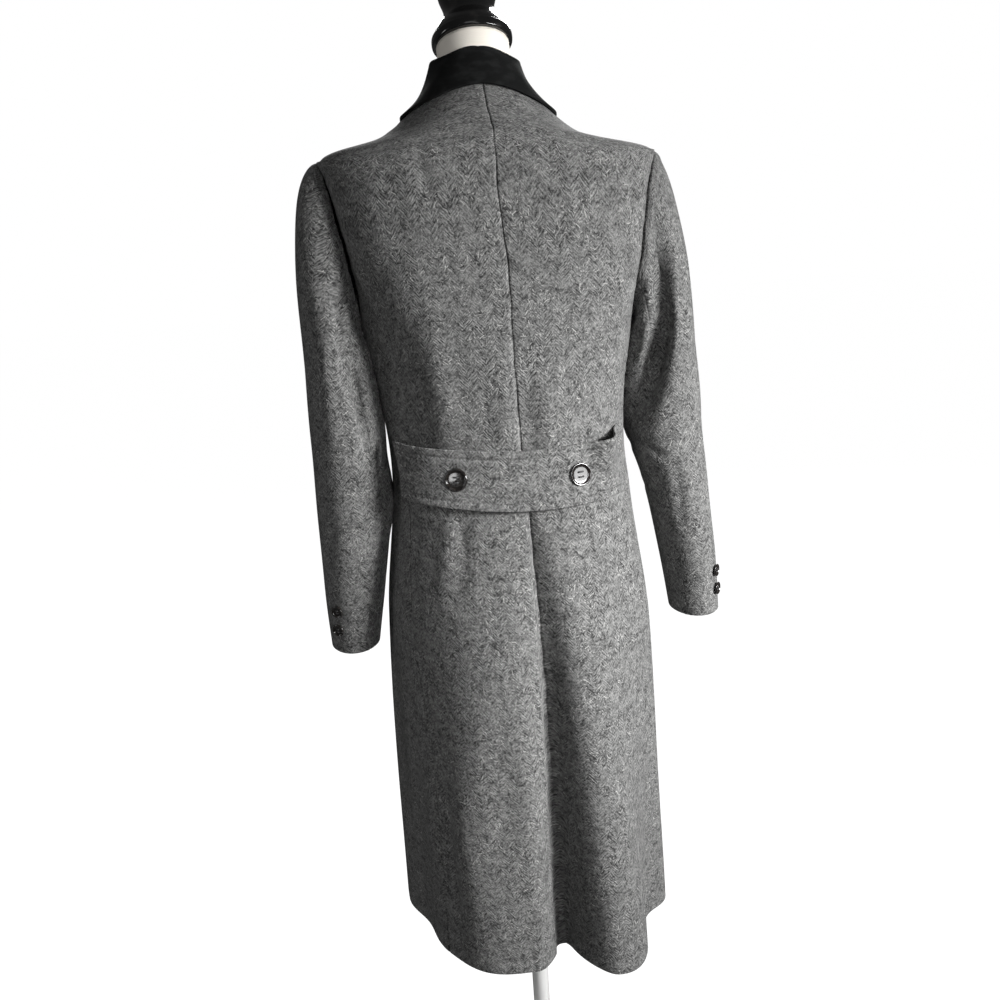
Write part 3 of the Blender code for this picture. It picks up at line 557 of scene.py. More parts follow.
# Neck cap of the dress form.
# A turned wooden cap with a flange, a cove and a round knob, lacquered black and polished.
# It stands on the neck's sloping end and leans with it.
LACQUER_BLACK = (0.006, 0.006, 0.006, 1.0)
LACQUER_WORN = (0.020, 0.019, 0.018, 1.0)
LACQUER_ROUGHNESS = (0.10, 0.26)
LACQUER_WEAR = (0.55, 0.75)
CAP_OUTLINE = (
    # radius and height above the neck
    (0.0000, 0.0000),
    (0.0478, 0.0000),
    (0.0490, 0.0030),
    (0.0490, 0.0095),
    (0.0476, 0.0118),
    (0.0462, 0.0122),
    (0.0456, 0.0150),
    (0.0400, 0.0240),
    (0.0325, 0.0340),
    (0.0302, 0.0430),
    (0.0322, 0.0520),
    (0.0360, 0.0630),
    (0.0366, 0.0740),
    (0.0340, 0.0880),
    (0.0245, 0.1010),
    (0.0110, 0.1068),
    (0.0000, 0.1075),
)
CAP_GAP = 0.0003


def make_lacquer():
    made, tree, shader, place = new_material("black_lacquer")
    cloud = mottled(tree, place, scale=60, detail=4.0)
    grain = mottled(tree, place, scale=(700, 700, 90))
    worn = ranged(tree, cloud, *LACQUER_WEAR, smooth=True)
    shading = {
        "Base Color": mixed(tree, worn, LACQUER_BLACK, LACQUER_WORN),
        "Roughness": between(tree, cloud, *LACQUER_ROUGHNESS),
        "Coat Weight": 0.5,
        "Coat Roughness": 0.08,
    }
    feed(tree, shader, shading)
    bumped(tree, shader, grain, distance=0.0001, strength=0.12)
    return made


def frame_at(point, normal):
    """Placement with its Z axis along a normal."""
    turn = Vector(normal).to_track_quat("Z", "Y").to_matrix().to_4x4()
    return Matrix.Translation(Vector(point)) @ turn


def placed(points, place):
    """Points moved by a placement."""
    turn = np.array(place)
    return np.asarray(points) @ turn[:3, :3].T + turn[:3, 3]


neck_axis = Vector((0.0, -math.sin(NECK_TILT), math.cos(NECK_TILT)))
neck_end = Vector((NECK_SHIFT, neck_centre(NECK_HEIGHTS[1]), NECK_HEIGHTS[1]))
cap_points, cap_faces = turned(eased(CAP_OUTLINE, rounds=2))
cap_points = placed(cap_points, frame_at(neck_end + neck_axis * CAP_GAP, neck_axis))
add_piece("neck_cap", cap_points, cap_faces, make_lacquer(), "black_lacquer", ["form_finial"])


# Back panels of the coat.
# Two panels of brushed herringbone wool, joined by a pressed centre-back seam that leans with the coat.
# Below the waist the seam runs down the bottom of a deep soft fold to the hem.
COAT_WALL = 0.0025
WORDS = {LEFT: "left", RIGHT: "right"}
WOOL_DARK = (0.018, 0.018, 0.018, 1.0)
WOOL_LIGHT = (0.225, 0.225, 0.221, 1.0)
KEMP_WHITE = (0.48, 0.475, 0.46, 1.0)
WOOL_BLACK = (0.014, 0.014, 0.015, 1.0)
WOOL_ROUGHNESS = (0.80, 0.96)
HERRINGBONE_COLUMN = 0.0118
HERRINGBONE_RIB = 0.0038
RIB_FLANKS = (0.08, 0.42)
YARN_STREAK = 0.0070
STREAKS_TO_RIB = 1.5
STREAK_OFFSET = 3.7
STIR_SCALE = 140.0
STIR_REACH = 0.004

# Tone of the cloth: shares of the ribs, of the streaks and of each layer of the nap about the mean
MEAN_TONE = 0.44
RIB_SHARE = 0.44
STREAK_SHARE = 1.9
Nap = namedtuple("Nap", "place scale detail share")
NAPS = (
    Nap("fleece", 340, 3.0, 1.7),
    Nap("tufts", 120, 2.0, 0.85),
    Nap("grain", 900, 2.0, 0.8),
    Nap("cloud", 48, 3.0, 0.60),
)

# Ranges of the nap and what they become: bare patches, worn tufts and gathered hairs
PATCHES_BARE = (0.38, 0.64, 0.50, 0.90)
TUFTS_WORN = (0.36, 0.62, 0.15, 1.0)
HAIRS_GATHERED = (0.42, 0.60, 0.25, 1.0)
GRAIN_RELIEF = 0.6
FIBRE_RELIEF = 0.4
FIBRE_BEND = 0.3
FIBRE_ENDS = (0.5, 0.3)
FIBRE_FLANKS = (0.5, 0.2)
Fibre = namedtuple("Fibre", "colour cell length width share strength")
FIBRE_SIZES = (
    Fibre(WOOL_BLACK, 0.006, 0.0045, 0.0018, 0.40, 0.35),
    Fibre(KEMP_WHITE, 0.0048, 0.0036, 0.0012, 0.45, 0.50),
    Fibre(KEMP_WHITE, 0.013, 0.0080, 0.0013, 0.35, 0.60),
)
BLADE_LEAN = 2.5
BLADE_LEAN_HEIGHT = 0.970
BLADE_LEAN_SPREAD = 0.080

SideSeam = namedtuple("SideSeam", "place height left right")
SIDE_SEAM = (
    # degrees behind the wearer's sides
    SideSeam("hem", 0.000, 46, 34),
    SideSeam("thigh", 0.280, 42, 32),
    SideSeam("hip", 0.440, 33, 29),
    SideSeam("belt", 0.646, 24, 24),
    SideSeam("underarm", 0.823, 0, 0),
)
ARMHOLE_HALF_ANGLES = {LEFT: math.radians(12), RIGHT: math.radians(19)}
ARMHOLE_BENDS = (math.radians(0.35), 13)
SKIRT_ROWS = 170
ARMHOLE_ROWS = 60
SHOULDER_ROWS = 34
BACK_COLUMNS = 64
EDGE_CROWDING = 0.75
ARC_STEPS = 160

# Creases: angle and height of the middle, length along and width across, depth outward,
# and lean of the upper end towards the wearer's right in degrees
Crease = namedtuple("Crease", "place angle height length width depth lean")
BODY_CREASES = (
    Crease("left_blade_dent", 48, 1.000, 0.085, 0.0060, -0.0036, -16),
    Crease("left_blade_ridge", 42, 0.995, 0.110, 0.0100, 0.0012, -12),
    Crease("small_of_back_right", 98, 0.715, 0.250, 0.0150, -0.0040, 3),
    Crease("small_of_back_left", 84, 0.735, 0.200, 0.0150, 0.0018, 2),
    Crease("left_waist_turn", 29, 0.770, 0.310, 0.0250, -0.0090, -4),
    Crease("left_waist_hollow", 40, 0.760, 0.220, 0.0110, -0.0030, -4),
    Crease("above_belt_left_hollow", 33, 0.708, 0.090, 0.0260, -0.0030, 0),
    Crease("left_flank_hollow", 21, 0.850, 0.200, 0.0200, -0.0040, 0),
    Crease("left_underarm_rest", 0, 0.790, 0.130, 0.0200, 0.0040, 0),
    Crease("right_underarm_rest", 175, 0.790, 0.130, 0.0240, 0.0030, 0),
    Crease("left_waist_ridge", 52, 0.780, 0.260, 0.0120, 0.0026, -4),
    Crease("belt_end_hollow", 137, 0.672, 0.056, 0.0150, -0.0080, 0),
    Crease("under_belt_left_trough", 58, 0.565, 0.190, 0.0080, -0.0024, 0),
    Crease("under_belt_left_ridge", 49, 0.560, 0.210, 0.0090, 0.0021, 2),
    Crease("under_belt_right_trough", 121, 0.560, 0.110, 0.0120, -0.0016, -6),
    Crease("right_armhole_drag", 146, 0.935, 0.120, 0.0080, -0.0014, -48),
    Crease("right_armhole_drag_low", 150, 0.885, 0.100, 0.0070, -0.0015, -38),
    Crease("left_armhole_drag", 33, 0.900, 0.120, 0.0090, -0.0018, 42),
    Crease("left_skirt_trough", 73, 0.210, 0.420, 0.0150, -0.0036, 1),
    Crease("left_skirt_edge_trough", 50, 0.160, 0.360, 0.0120, -0.0046, -2),
    Crease("left_seam_ridge", 56, 0.180, 0.300, 0.0130, 0.0030, -2),
    Crease("right_skirt_trough", 127, 0.240, 0.380, 0.0200, -0.0034, -2),
    Crease("right_hem_trough", 138, 0.050, 0.240, 0.0130, -0.0042, 3),
    Crease("left_side_trough", 12, 0.260, 0.460, 0.0160, -0.0050, 0),
    Crease("right_side_trough", 170, 0.240, 0.420, 0.0180, -0.0046, 0),
    Crease("front_left_skirt_trough", 305, 0.240, 0.480, 0.0180, -0.0048, 1),
    Crease("front_left_skirt_ridge", 330, 0.200, 0.400, 0.0180, 0.0030, 0),
    Crease("front_right_skirt_trough", 238, 0.210, 0.440, 0.0190, -0.0046, -1),
    Crease("front_right_skirt_ridge", 206, 0.230, 0.420, 0.0170, 0.0030, 0),
    Crease("front_left_waist_drag", 318, 0.640, 0.150, 0.0080, -0.0022, 52),
    Crease("front_right_waist_drag", 224, 0.625, 0.160, 0.0090, -0.0024, -48),
    Crease("front_left_chest_drag", 334, 0.850, 0.130, 0.0090, -0.0022, -34),
    Crease("front_right_chest_drag", 207, 0.862, 0.120, 0.0085, -0.0020, 36),
)
BODY_GIRTH_RADIUS = 0.150
CentreFold = namedtuple("CentreFold", "height depth left_width right_width")
CENTRE_FOLD = (
    CentreFold(0.000, -0.0110, 0.0100, 0.0150),
    CentreFold(0.300, -0.0135, 0.0060, 0.0150),
    CentreFold(0.600, -0.0125, 0.0040, 0.0135),
    CentreFold(0.700, -0.0070, 0.0035, 0.0120),
    CentreFold(0.800, -0.0030, 0.0030, 0.0100),
    CentreFold(1.000, -0.0008, 0.0030, 0.0090),
)
ARMHOLE_SINK = {LEFT: 0.0030, RIGHT: 0.0014}
ARMHOLE_SINK_REACH = 0.022
ARMHOLE_SINK_FADES = (0.05, 0.02)
Press = namedtuple("Press", "height width depth angle spread fade")
BELT_PRESS = Press(0.6125, 0.0075, -0.0040, 90, 64, 12)
TIP_SMOOTH = {LEFT: 0.9, RIGHT: 0.2}
TIP_SMOOTH_REACH = 0.045
SEAM_SINK = 0.0020
SEAM_ROLL = 0.0022
SEAM_UNEVEN = 0.3
SEAM_UNEVEN_WAVES = (57, 23)
SEAM_BEND = 0.00035
SEAM_BEND_LENGTHS = (0.118, 0.047)
SEAM_FADE = 0.03
NECK_FADE = 0.06
PUCKER_DEPTH = 0.00035
PUCKER_LENGTH = 0.017
PUCKER_REACH = 0.009
PUCKER_STRAY = 2.5
PUCKER_STRAY_WAVE = 31
DRAPE_DEPTH = 0.0007
DRAPE_WAVES = ((23.0, 5.0, 0.4), (41.0, 9.0, 1.9), (13.0, 16.0, 3.1))


def make_herringbone_group():
    """Ribs of a broken twill that turn about at every column, from 0 to 1, and streaks along them."""
    sizes = ("Column", "Rib", "Streak length")
    tree, given, result = shader_group("Herringbone", ("Vector",), sizes, ("Ribs", "Streaks"))
    column, rib, streak = (given.outputs[name] for name in sizes)
    x, y, _ = put(tree, "ShaderNodeSeparateXYZ", {0: given.outputs["Vector"]}).outputs
    columns = maths(tree, "DIVIDE", x, column)
    number = maths(tree, "FLOOR", columns)
    turned_about = maths(tree, "FLOORED_MODULO", number, 2.0)
    inside = product(tree, maths(tree, "FRACT", columns), column)
    way = maths(tree, "SUBTRACT", 1.0, product(tree, turned_about, 2.0))
    along = maths(tree, "DIVIDE", total(tree, y, product(tree, inside, way)), rib)
    broken = total(tree, along, product(tree, turned_about, 0.5))
    wave = maths(tree, "PINGPONG", broken, 0.5)
    rows = product(tree, along, STREAKS_TO_RIB)
    far = maths(tree, "DIVIDE", inside, streak)
    apart = product(tree, number, STREAK_OFFSET)
    yarns = put(tree, "ShaderNodeCombineXYZ", {0: rows, 1: far, 2: apart}).outputs[0]
    streaks = put(tree, "ShaderNodeTexNoise", {"Vector": yarns, "Scale": 1.0, "Detail": 2.0})
    ribs = ranged(tree, wave, *RIB_FLANKS, smooth=True)
    feed(tree, result, {"Ribs": ribs, "Streaks": streaks.outputs["Fac"]})
    return tree


def make_fibre_group():
    """Short bent fibres lying any way on the cloth, one to a cell, as a mask."""
    sizes = ("Cell", "Length", "Width", "Share")
    tree, given, result = shader_group("Lying fibres", ("Vector",), sizes, ("Mask",))
    cell, length, width, share = (given.outputs[name] for name in sizes)
    sizes = {0: given.outputs["Vector"], "Scale": maths(tree, "DIVIDE", 1.0, cell)}
    scaled = put(tree, "ShaderNodeVectorMath", sizes, operation="SCALE").outputs[0]
    sizes = {"Vector": scaled, "Scale": 1.0}
    cells = put(tree, "ShaderNodeTexVoronoi", sizes, voronoi_dimensions="2D").outputs
    sizes = {0: scaled, 1: cells["Position"]}
    offset = put(tree, "ShaderNodeVectorMath", sizes, operation="SUBTRACT").outputs[0]
    sizes = {0: offset, "Scale": cell}
    local = put(tree, "ShaderNodeVectorMath", sizes, operation="SCALE").outputs[0]
    x, y, _ = put(tree, "ShaderNodeSeparateXYZ", {0: local}).outputs
    chances = put(tree, "ShaderNodeSeparateColor", {0: cells["Color"]}).outputs
    way_chance, share_chance, bend_chance = chances
    turn = product(tree, way_chance, math.pi)
    cosine, sine = maths(tree, "COSINE", turn), maths(tree, "SINE", turn)
    along = total(tree, product(tree, x, cosine), product(tree, y, sine))
    across = maths(tree, "SUBTRACT", product(tree, y, cosine), product(tree, x, sine))
    bend = ranged(tree, bend_chance, 0.0, 1.0, -FIBRE_BEND, FIBRE_BEND)
    bend = maths(tree, "DIVIDE", bend, length)
    bowed = total(tree, across, product(tree, bend, product(tree, along, along)))
    reach = maths(tree, "DIVIDE", maths(tree, "ABSOLUTE", along), length)
    aside = maths(tree, "DIVIDE", maths(tree, "ABSOLUTE", bowed), width)
    long_mask = ranged(tree, reach, *FIBRE_ENDS, smooth=True)
    wide_mask = ranged(tree, aside, *FIBRE_FLANKS, smooth=True)
    there = maths(tree, "LESS_THAN", share_chance, share)
    feed(tree, result, {"Mask": product(tree, there, product(tree, long_mask, wide_mask))})
    return tree


HERRINGBONE = make_herringbone_group()
FIBRES = make_fibre_group()


def about_mean(tree, value, share):
    """Share of a value's difference from one half."""
    return product(tree, maths(tree, "SUBTRACT", value, 0.5), share)


def make_tweed():
    """Brushed wool: dark and light yarns in ribs that the nap half hides, with stray white kemp."""
    made, tree, shader, place = new_material("herringbone_tweed", mapped=True)
    sizes = {"Vector": place, "Scale": STIR_SCALE, "Detail": 2.0}
    stir = put(tree, "ShaderNodeTexNoise", sizes).outputs["Color"]
    sizes = {0: stir, 1: (STIR_REACH, STIR_REACH, 0.0), 2: place}
    shifted = put(tree, "ShaderNodeVectorMath", sizes, operation="MULTIPLY_ADD").outputs[0]
    sizes = {"Vector": shifted, "Column": HERRINGBONE_COLUMN, "Rib": HERRINGBONE_RIB}
    sizes["Streak length"] = YARN_STREAK
    weave = put(tree, "ShaderNodeGroup", sizes, node_tree=HERRINGBONE).outputs
    layers = [mottled(tree, place, nap.scale, nap.detail) for nap in NAPS]
    fleece, tufts, grain, _ = layers
    patch = mottled(tree, place, scale=20)
    clear = ranged(tree, patch, *PATCHES_BARE, smooth=True)
    worn = product(tree, clear, ranged(tree, tufts, *TUFTS_WORN, smooth=True))
    tone = about_mean(tree, weave["Ribs"], product(tree, worn, RIB_SHARE))
    streaks = about_mean(tree, weave["Streaks"], clear)
    tone = total(tree, tone, product(tree, streaks, STREAK_SHARE))
    for layer, nap in zip(layers, NAPS):
        tone = total(tree, tone, about_mean(tree, layer, nap.share))
    tone = put(tree, "ShaderNodeClamp", {"Value": total(tree, tone, MEAN_TONE)}).outputs[0]
    colour = mixed(tree, tone, WOOL_DARK, WOOL_LIGHT)
    gathered = ranged(tree, mottled(tree, place, scale=26), *HAIRS_GATHERED, smooth=True)
    relief = total(tree, product(tree, weave["Ribs"], worn), weave["Streaks"], fleece)
    for fibre in FIBRE_SIZES:
        sizes = {"Vector": place, "Cell": fibre.cell, "Length": fibre.length}
        sizes.update({"Width": fibre.width, "Share": fibre.share})
        mask = put(tree, "ShaderNodeGroup", sizes, node_tree=FIBRES).outputs["Mask"]
        colour = mixed(tree, product(tree, mask, gathered, fibre.strength), colour, fibre.colour)
        relief = total(tree, relief, product(tree, mask, FIBRE_RELIEF))
    shading = {
        "Base Color": colour,
        "Roughness": between(tree, fleece, *WOOL_ROUGHNESS),
        "Sheen Weight": 0.10,
        "Sheen Roughness": 0.55,
        "Specular IOR Level": 0.20,
    }
    feed(tree, shader, shading)
    relief = total(tree, relief, product(tree, grain, GRAIN_RELIEF))
    bumped(tree, shader, relief, distance=0.0005, strength=0.7)
    return made


def centre_back(level):
    """Angle of the centre-back seam, which runs down the bottom of its fold."""
    height = section_column("height", level)
    share = np.clip(1 - height / TOP_HEIGHT, 0, 1)
    blade = bell((height - BLADE_LEAN_HEIGHT) / BLADE_LEAN_SPREAD)
    bent = SEAM_BEND * sum(np.sin(2 * np.pi * level / length) for length in SEAM_BEND_LENGTHS)
    angle = np.radians(90 + BACK_SEAM_LEAN * share - BLADE_LEAN * blade)
    return angle + bent / section_column("back", level)


def side_angle(side, back_angle):
    """Angle on the wearer's left or right that lies this far behind the side."""
    return back_angle if side == LEFT else np.pi - back_angle


def blend(first, last, share):
    """Value at a share of the way from the first to the last."""
    return first + (last - first) * share


def armhole_level(turn):
    return blend(level_of("underarm"), level_of("tip"), (1 + np.cos(turn)) / 2)


def armhole_angle(side, turn):
    """Angle of the armhole's edge from the wearer's side, to the back positive."""
    size, count = ARMHOLE_BENDS
    return ARMHOLE_HALF_ANGLES[side] * np.sin(turn) + size * np.sin(count * turn) * np.sin(turn) ** 2


def panel_rows(side):
    """Levels of the panels' rows and the armhole's edge angle at each."""
    turns = np.linspace(np.pi, 0, ARMHOLE_ROWS + 1)
    skirt = np.linspace(LEVELS[0], level_of("underarm"), SKIRT_ROWS + 1)[:-1]
    shoulder = np.linspace(level_of("tip"), level_of("neck"), SHOULDER_ROWS + 1)[1:]
    levels = np.concatenate((skirt, armhole_level(turns), shoulder))
    edges = np.full(len(levels), -np.pi)
    edges[len(skirt) : len(skirt) + len(turns)] = armhole_angle(side, turns)
    return levels, edges


def table_column(rows, key, column, place):
    """Smooth value of a table's column at a place along its key column."""
    knots = [getattr(row, key) for row in rows]
    return smooth_column(place, knots, [getattr(row, column) for row in rows])


def seam_angle(side, levels):
    """How far the side seam lies behind the wearer's side."""
    heights = section_column("height", levels)
    return np.radians(table_column(SIDE_SEAM, "height", WORDS[side], heights))


def panel_start(side, levels, edges, facing):
    """Side edge of a back (facing 1) or front (facing -1) panel, measured from the wearer's side."""
    return np.maximum(edges, facing * seam_angle(side, levels))


def crowded(count, crowding=EDGE_CROWDING):
    """Shares from 0 to 1 that lie closer together at both ends."""
    t = np.linspace(0, 1, count + 1)
    return t - crowding * np.sin(2 * np.pi * t) / (2 * np.pi)


def hump(offset):
    """Smooth hump of 1 in the middle with long flanks."""
    return np.exp(-(offset**2))


def crease_depth(creases, degrees, height, radius):
    """How far the creases move the cloth outward: troughs with soft lips, or ridges."""
    moved = 0.0
    for crease in creases:
        round_off = np.radians(wrapped(degrees - crease.angle)) * radius
        up_off = height - crease.height
        lean = math.radians(crease.lean)
        along = up_off * math.cos(lean) + round_off * math.sin(lean)
        across = (round_off * math.cos(lean) - up_off * math.sin(lean)) / crease.width
        profile = (1 - across**2 / 2) * np.exp(-(across**2) / 2)
        moved = moved + crease.depth * bell(2 * along / crease.length) * profile
    return moved


def drape(across, up):
    """Slight unevenness of hanging cloth over its breadth and length in metres."""
    return DRAPE_DEPTH * sum(np.sin(a * across + b * up + c) for a, b, c in DRAPE_WAVES) / len(DRAPE_WAVES)


def seam_roll(distance, along, sink=SEAM_SINK):
    """How far a seam's pressed edge sinks below the cloth around it, with small puckers beside it."""
    waves = np.prod([np.sin(wave * along) for wave in SEAM_UNEVEN_WAVES], axis=0)
    uneven = 1 - SEAM_UNEVEN + SEAM_UNEVEN * waves
    sunk = -sink * uneven * np.clip(1 - distance / SEAM_ROLL, 0, 1) ** 2
    phase = 2 * np.pi * along / PUCKER_LENGTH + PUCKER_STRAY * np.sin(PUCKER_STRAY_WAVE * along)
    beside = hump(distance / PUCKER_REACH) * np.clip(distance / SEAM_ROLL, 0, 1)
    return sunk + PUCKER_DEPTH * np.sin(phase) * beside


def centre_fold(side, from_centre, height):
    """Fold at the centre-back seam, deeper to the hem, sharp on the left panel and soft on the right."""
    depth = table_column(CENTRE_FOLD, "height", "depth", height)
    share = from_centre / table_column(CENTRE_FOLD, "height", WORDS[side] + "_width", height)
    return depth * np.exp(-(share**2 if side == LEFT else share))


def armhole_sink(side, from_edge, height):
    """How far the cloth beside the armhole lies below the sleeve's head."""
    low, high = height_of("underarm"), height_of("tip")
    beside = rise(height, low, low + ARMHOLE_SINK_FADES[0])
    beside = beside * (1 - rise(height, high - ARMHOLE_SINK_FADES[1], high))
    return -ARMHOLE_SINK[side] * beside * np.exp(-from_edge / ARMHOLE_SINK_REACH)


def belt_press(angle, height):
    """How far the cloth is drawn in just below the half belt."""
    to_end = BELT_PRESS.spread - np.abs(np.degrees(angle) - BELT_PRESS.angle)
    below = hump((height - BELT_PRESS.height) / BELT_PRESS.width)
    return BELT_PRESS.depth * rise(to_end, 0, BELT_PRESS.fade) * below


def tip_smooth(side, level):
    """Share of a seam's sinking that is left near the shoulder's tip, where the cloth lies smooth."""
    return 1 - TIP_SMOOTH[side] * bell((level - level_of("tip")) / TIP_SMOOTH_REACH)


def arc_from(start, angles, levels):
    """Distance round the body from a start angle on each level, along the cloth."""
    span = angles[:, 0] - start
    share = np.linspace(0, 1, ARC_STEPS)
    lengths = row_lengths(body_point(start[:, None] + span[:, None] * share, levels[:, None]))
    out = (angles - start[:, None]) / span[:, None]
    for i, row in enumerate(out):
        out[i] = np.where(row < 0, row * lengths[i][-1], np.interp(row, share, lengths[i]))
    return out


# Reach of a wall's edge past its last row: rounded where it is free, or into a seam
FREE = COAT_WALL / 2
SEWN = 0.0008
TUCKED = 0.0045
UNDERLAID = 0.0065


def cloth_wall(name, outer, inner, uv, material, slot, replaced, edges):
    """Closed wall of cloth between two grids, with the reach of its low, far, top and near edges."""
    rows, columns = outer.shape[:2]
    count = rows * columns
    grid = np.arange(count).reshape(rows, columns)
    low, far, top, near = edges
    ways = ((grid[0, :], grid[1, :], low), (grid[:, -1], grid[:, -2], far))
    ways += ((grid[-1, ::-1], grid[-2, ::-1], top), (grid[::-1, 0], grid[::-1, 1], near))
    outer_flat, inner_flat = outer.reshape(-1, 3), inner.reshape(-1, 3)
    bulge = np.zeros((count, 3))
    for edge, inside, reach in ways:
        bulge[edge] += reach * unit(outer_flat[edge] - outer_flat[inside])
    border = np.concatenate([edge[:-1] for edge, _, _ in ways])
    middle = (outer_flat[border] + inner_flat[border]) / 2 + bulge[border]
    points = np.concatenate((outer_flat, inner_flat, middle))
    corners = np.stack((grid[:-1, :-1], grid[:-1, 1:], grid[1:, 1:], grid[1:, :-1]), axis=-1)
    corners = corners.reshape(-1, 4)
    rim = np.arange(len(border)) + 2 * count
    outside = np.stack((border, np.roll(border, -1), np.roll(rim, -1), rim), axis=-1)
    inside = np.stack((rim, np.roll(rim, -1), np.roll(border, -1) + count, border + count), axis=-1)
    rims = (outside[:, ::-1], inside[:, ::-1])
    faces = np.concatenate((corners, corners[:, ::-1] + count) + rims).tolist()
    piece = add_piece(name, points, faces, material, slot, replaced)
    flat_uv = uv.reshape(-1, 2)
    lay_uv(piece, np.concatenate((flat_uv, flat_uv, flat_uv[border])))
    return piece


tweed = make_tweed()


def panel_hang(angles, grid, from_side, from_edge):
    """Creases and unevenness of a panel's hanging cloth; the unevenness ends at the side seam."""
    heights = section_column("height", grid)
    loose = crease_depth(BODY_CREASES, np.degrees(angles), heights, BODY_GIRTH_RADIUS)
    return loose + drape(from_edge, grid) * rise(from_side, 0.0, SEAM_FADE)


def make_back(side):
    levels, edges = panel_rows(side)
    start = panel_start(side, levels, edges, 1)
    stop = side_angle(side, centre_back(levels))
    behind_side = blend(start[:, None], stop[:, None], crowded(BACK_COLUMNS))
    angles = side_angle(side, behind_side)
    grid = np.broadcast_to(levels[:, None], angles.shape)
    heights = section_column("height", grid)
    from_side = row_lengths(body_point(angles, grid))
    from_centre = from_side[:, -1:] - from_side
    loose = panel_hang(angles, grid, from_side, from_centre) + belt_press(angles, heights)
    loose = loose + centre_fold(side, from_centre, heights) + armhole_sink(side, from_side, heights)
    loose = loose * rise(TOP_HEIGHT - heights, 0.0, NECK_FADE) + tip_drop(angles, grid)
    sewn = seam_roll(from_side, grid) * tip_smooth(side, grid) + seam_roll(from_centre, grid)
    outer, inner = on_body(angles, grid, loose + sewn), on_body(angles, grid, loose - COAT_WALL)
    uv = np.stack((side * from_centre, grid), axis=-1)
    reach = (FREE, SEWN, SEWN, UNDERLAID)
    name, node = f"back_panel_{WORDS[side]}", f"back_{WORDS[side]}"
    piece = cloth_wall(name, outer, inner, uv, tweed, "wool", [node], reach)


for side in WORDS:
    make_back(side)


# Front panels of the coat.
# Two panels of the same wool that lap right over left, each from its side seam to its own front edge.
# Above the break the edge follows the roll line up to the neck.
OVERLAP = 0.075
BREAK_HEIGHT = 0.700
NECK_POINT = 0.052
LAYER = 0.0048
LAPEL_LAYERS = 0.0110
LAYER_RISE = 0.13
LAYER_BLEND = math.radians(22)
FRONT_CENTRE = 1.5 * math.pi
EDGE_PASSES = 8
FRONT_COLUMNS = 84
FRONT_EDGE_FADE = (0.10, 0.16)


def front_edge(level):
    """Angle of the front edge past the centre front; positive on the front's own side."""
    height = section_column("height", level)
    rolled = np.clip((height - BREAK_HEIGHT) / (TOP_HEIGHT - BREAK_HEIGHT), 0, 1)
    reach = blend(-OVERLAP, NECK_POINT, rolled)
    angle = np.zeros_like(reach)
    for _ in range(EDGE_PASSES):
        angle = np.arcsin(reach / body_radius(FRONT_CENTRE + angle, level, folded=False))
    return angle


def front_layer(side, past_centre, level):
    """How far the right front lies out over the left one; past_centre is negative in the overlap."""
    if side == LEFT:
        return np.zeros_like(past_centre)
    height = section_column("height", level)
    near_break = rise(height, BREAK_HEIGHT - LAYER_RISE, BREAK_HEIGHT - LAYER_RISE / 4)
    over_neck = rise(height, height_of("blade"), height_of("slope"))
    amount = blend(LAYER, LAPEL_LAYERS, near_break) * (1 - over_neck)
    under_edge = -front_edge(level)
    return amount * (1 - rise(past_centre, under_edge, under_edge + LAYER_BLEND))


def make_front(side):
    levels, edges = panel_rows(side)
    start = panel_start(side, levels, edges, -1)
    stop = np.pi / 2 - front_edge(levels)
    before_side = blend(start[:, None], stop[:, None], crowded(FRONT_COLUMNS))
    angles = side_angle(side, -before_side)
    grid = np.broadcast_to(levels[:, None], angles.shape)
    layer = front_layer(side, np.pi / 2 - before_side, grid)
    from_side = row_lengths(body_point(angles, grid))
    to_edge = from_side[:, -1:] - from_side
    kept = rise(TOP_HEIGHT - section_column("height", grid), 0.0, NECK_FADE)
    kept = kept * rise(to_edge, *FRONT_EDGE_FADE)
    loose = panel_hang(angles, grid, from_side, to_edge) * kept + tip_drop(angles, grid)
    sewn = seam_roll(from_side, grid) * tip_smooth(side, grid)
    outer = on_body(angles, grid, layer + loose + sewn)
    inner = on_body(angles, grid, layer + loose - COAT_WALL)
    front_middle = np.full(len(levels), side_angle(side, -np.pi / 2))
    uv = np.stack((arc_from(front_middle, angles, levels), grid), axis=-1)
    reach = (FREE, FREE, SEWN, UNDERLAID)
    name, node = f"front_panel_{WORDS[side]}", f"front_{WORDS[side]}"
    piece = cloth_wall(name, outer, inner, uv, tweed, "wool", [node], reach)
    return piece


fronts = {side: make_front(side) for side in WORDS}


# Lapels.
# The upper front edges of the same wool, turned back on the fronts from the break to a peak.
# Their edges are pressed and rounded, and each rolls over at its front's edge.
LAPEL_ROWS = 90
LAPEL_COLUMNS = 30
LAPEL_TOP = (0.050, 1.052)
LAPEL_PEAK = (0.128, 0.990)
LAPEL_BULGE = 0.012
LAPEL_LIFT = 0.0038
ROLL_LIFT = 0.0005
ROLL_INSET = 0.0010
ROLL_SHARE = 0.10
LAPEL_START = 0.06
BEFORE_COAT = -1.0


def surface_of(made):
    """Search tree over an object's faces, for laying other pieces on it."""
    points = [vertex.co for vertex in made.data.vertices]
    return BVHTree.FromPolygons(points, [tuple(face.vertices) for face in made.data.polygons])


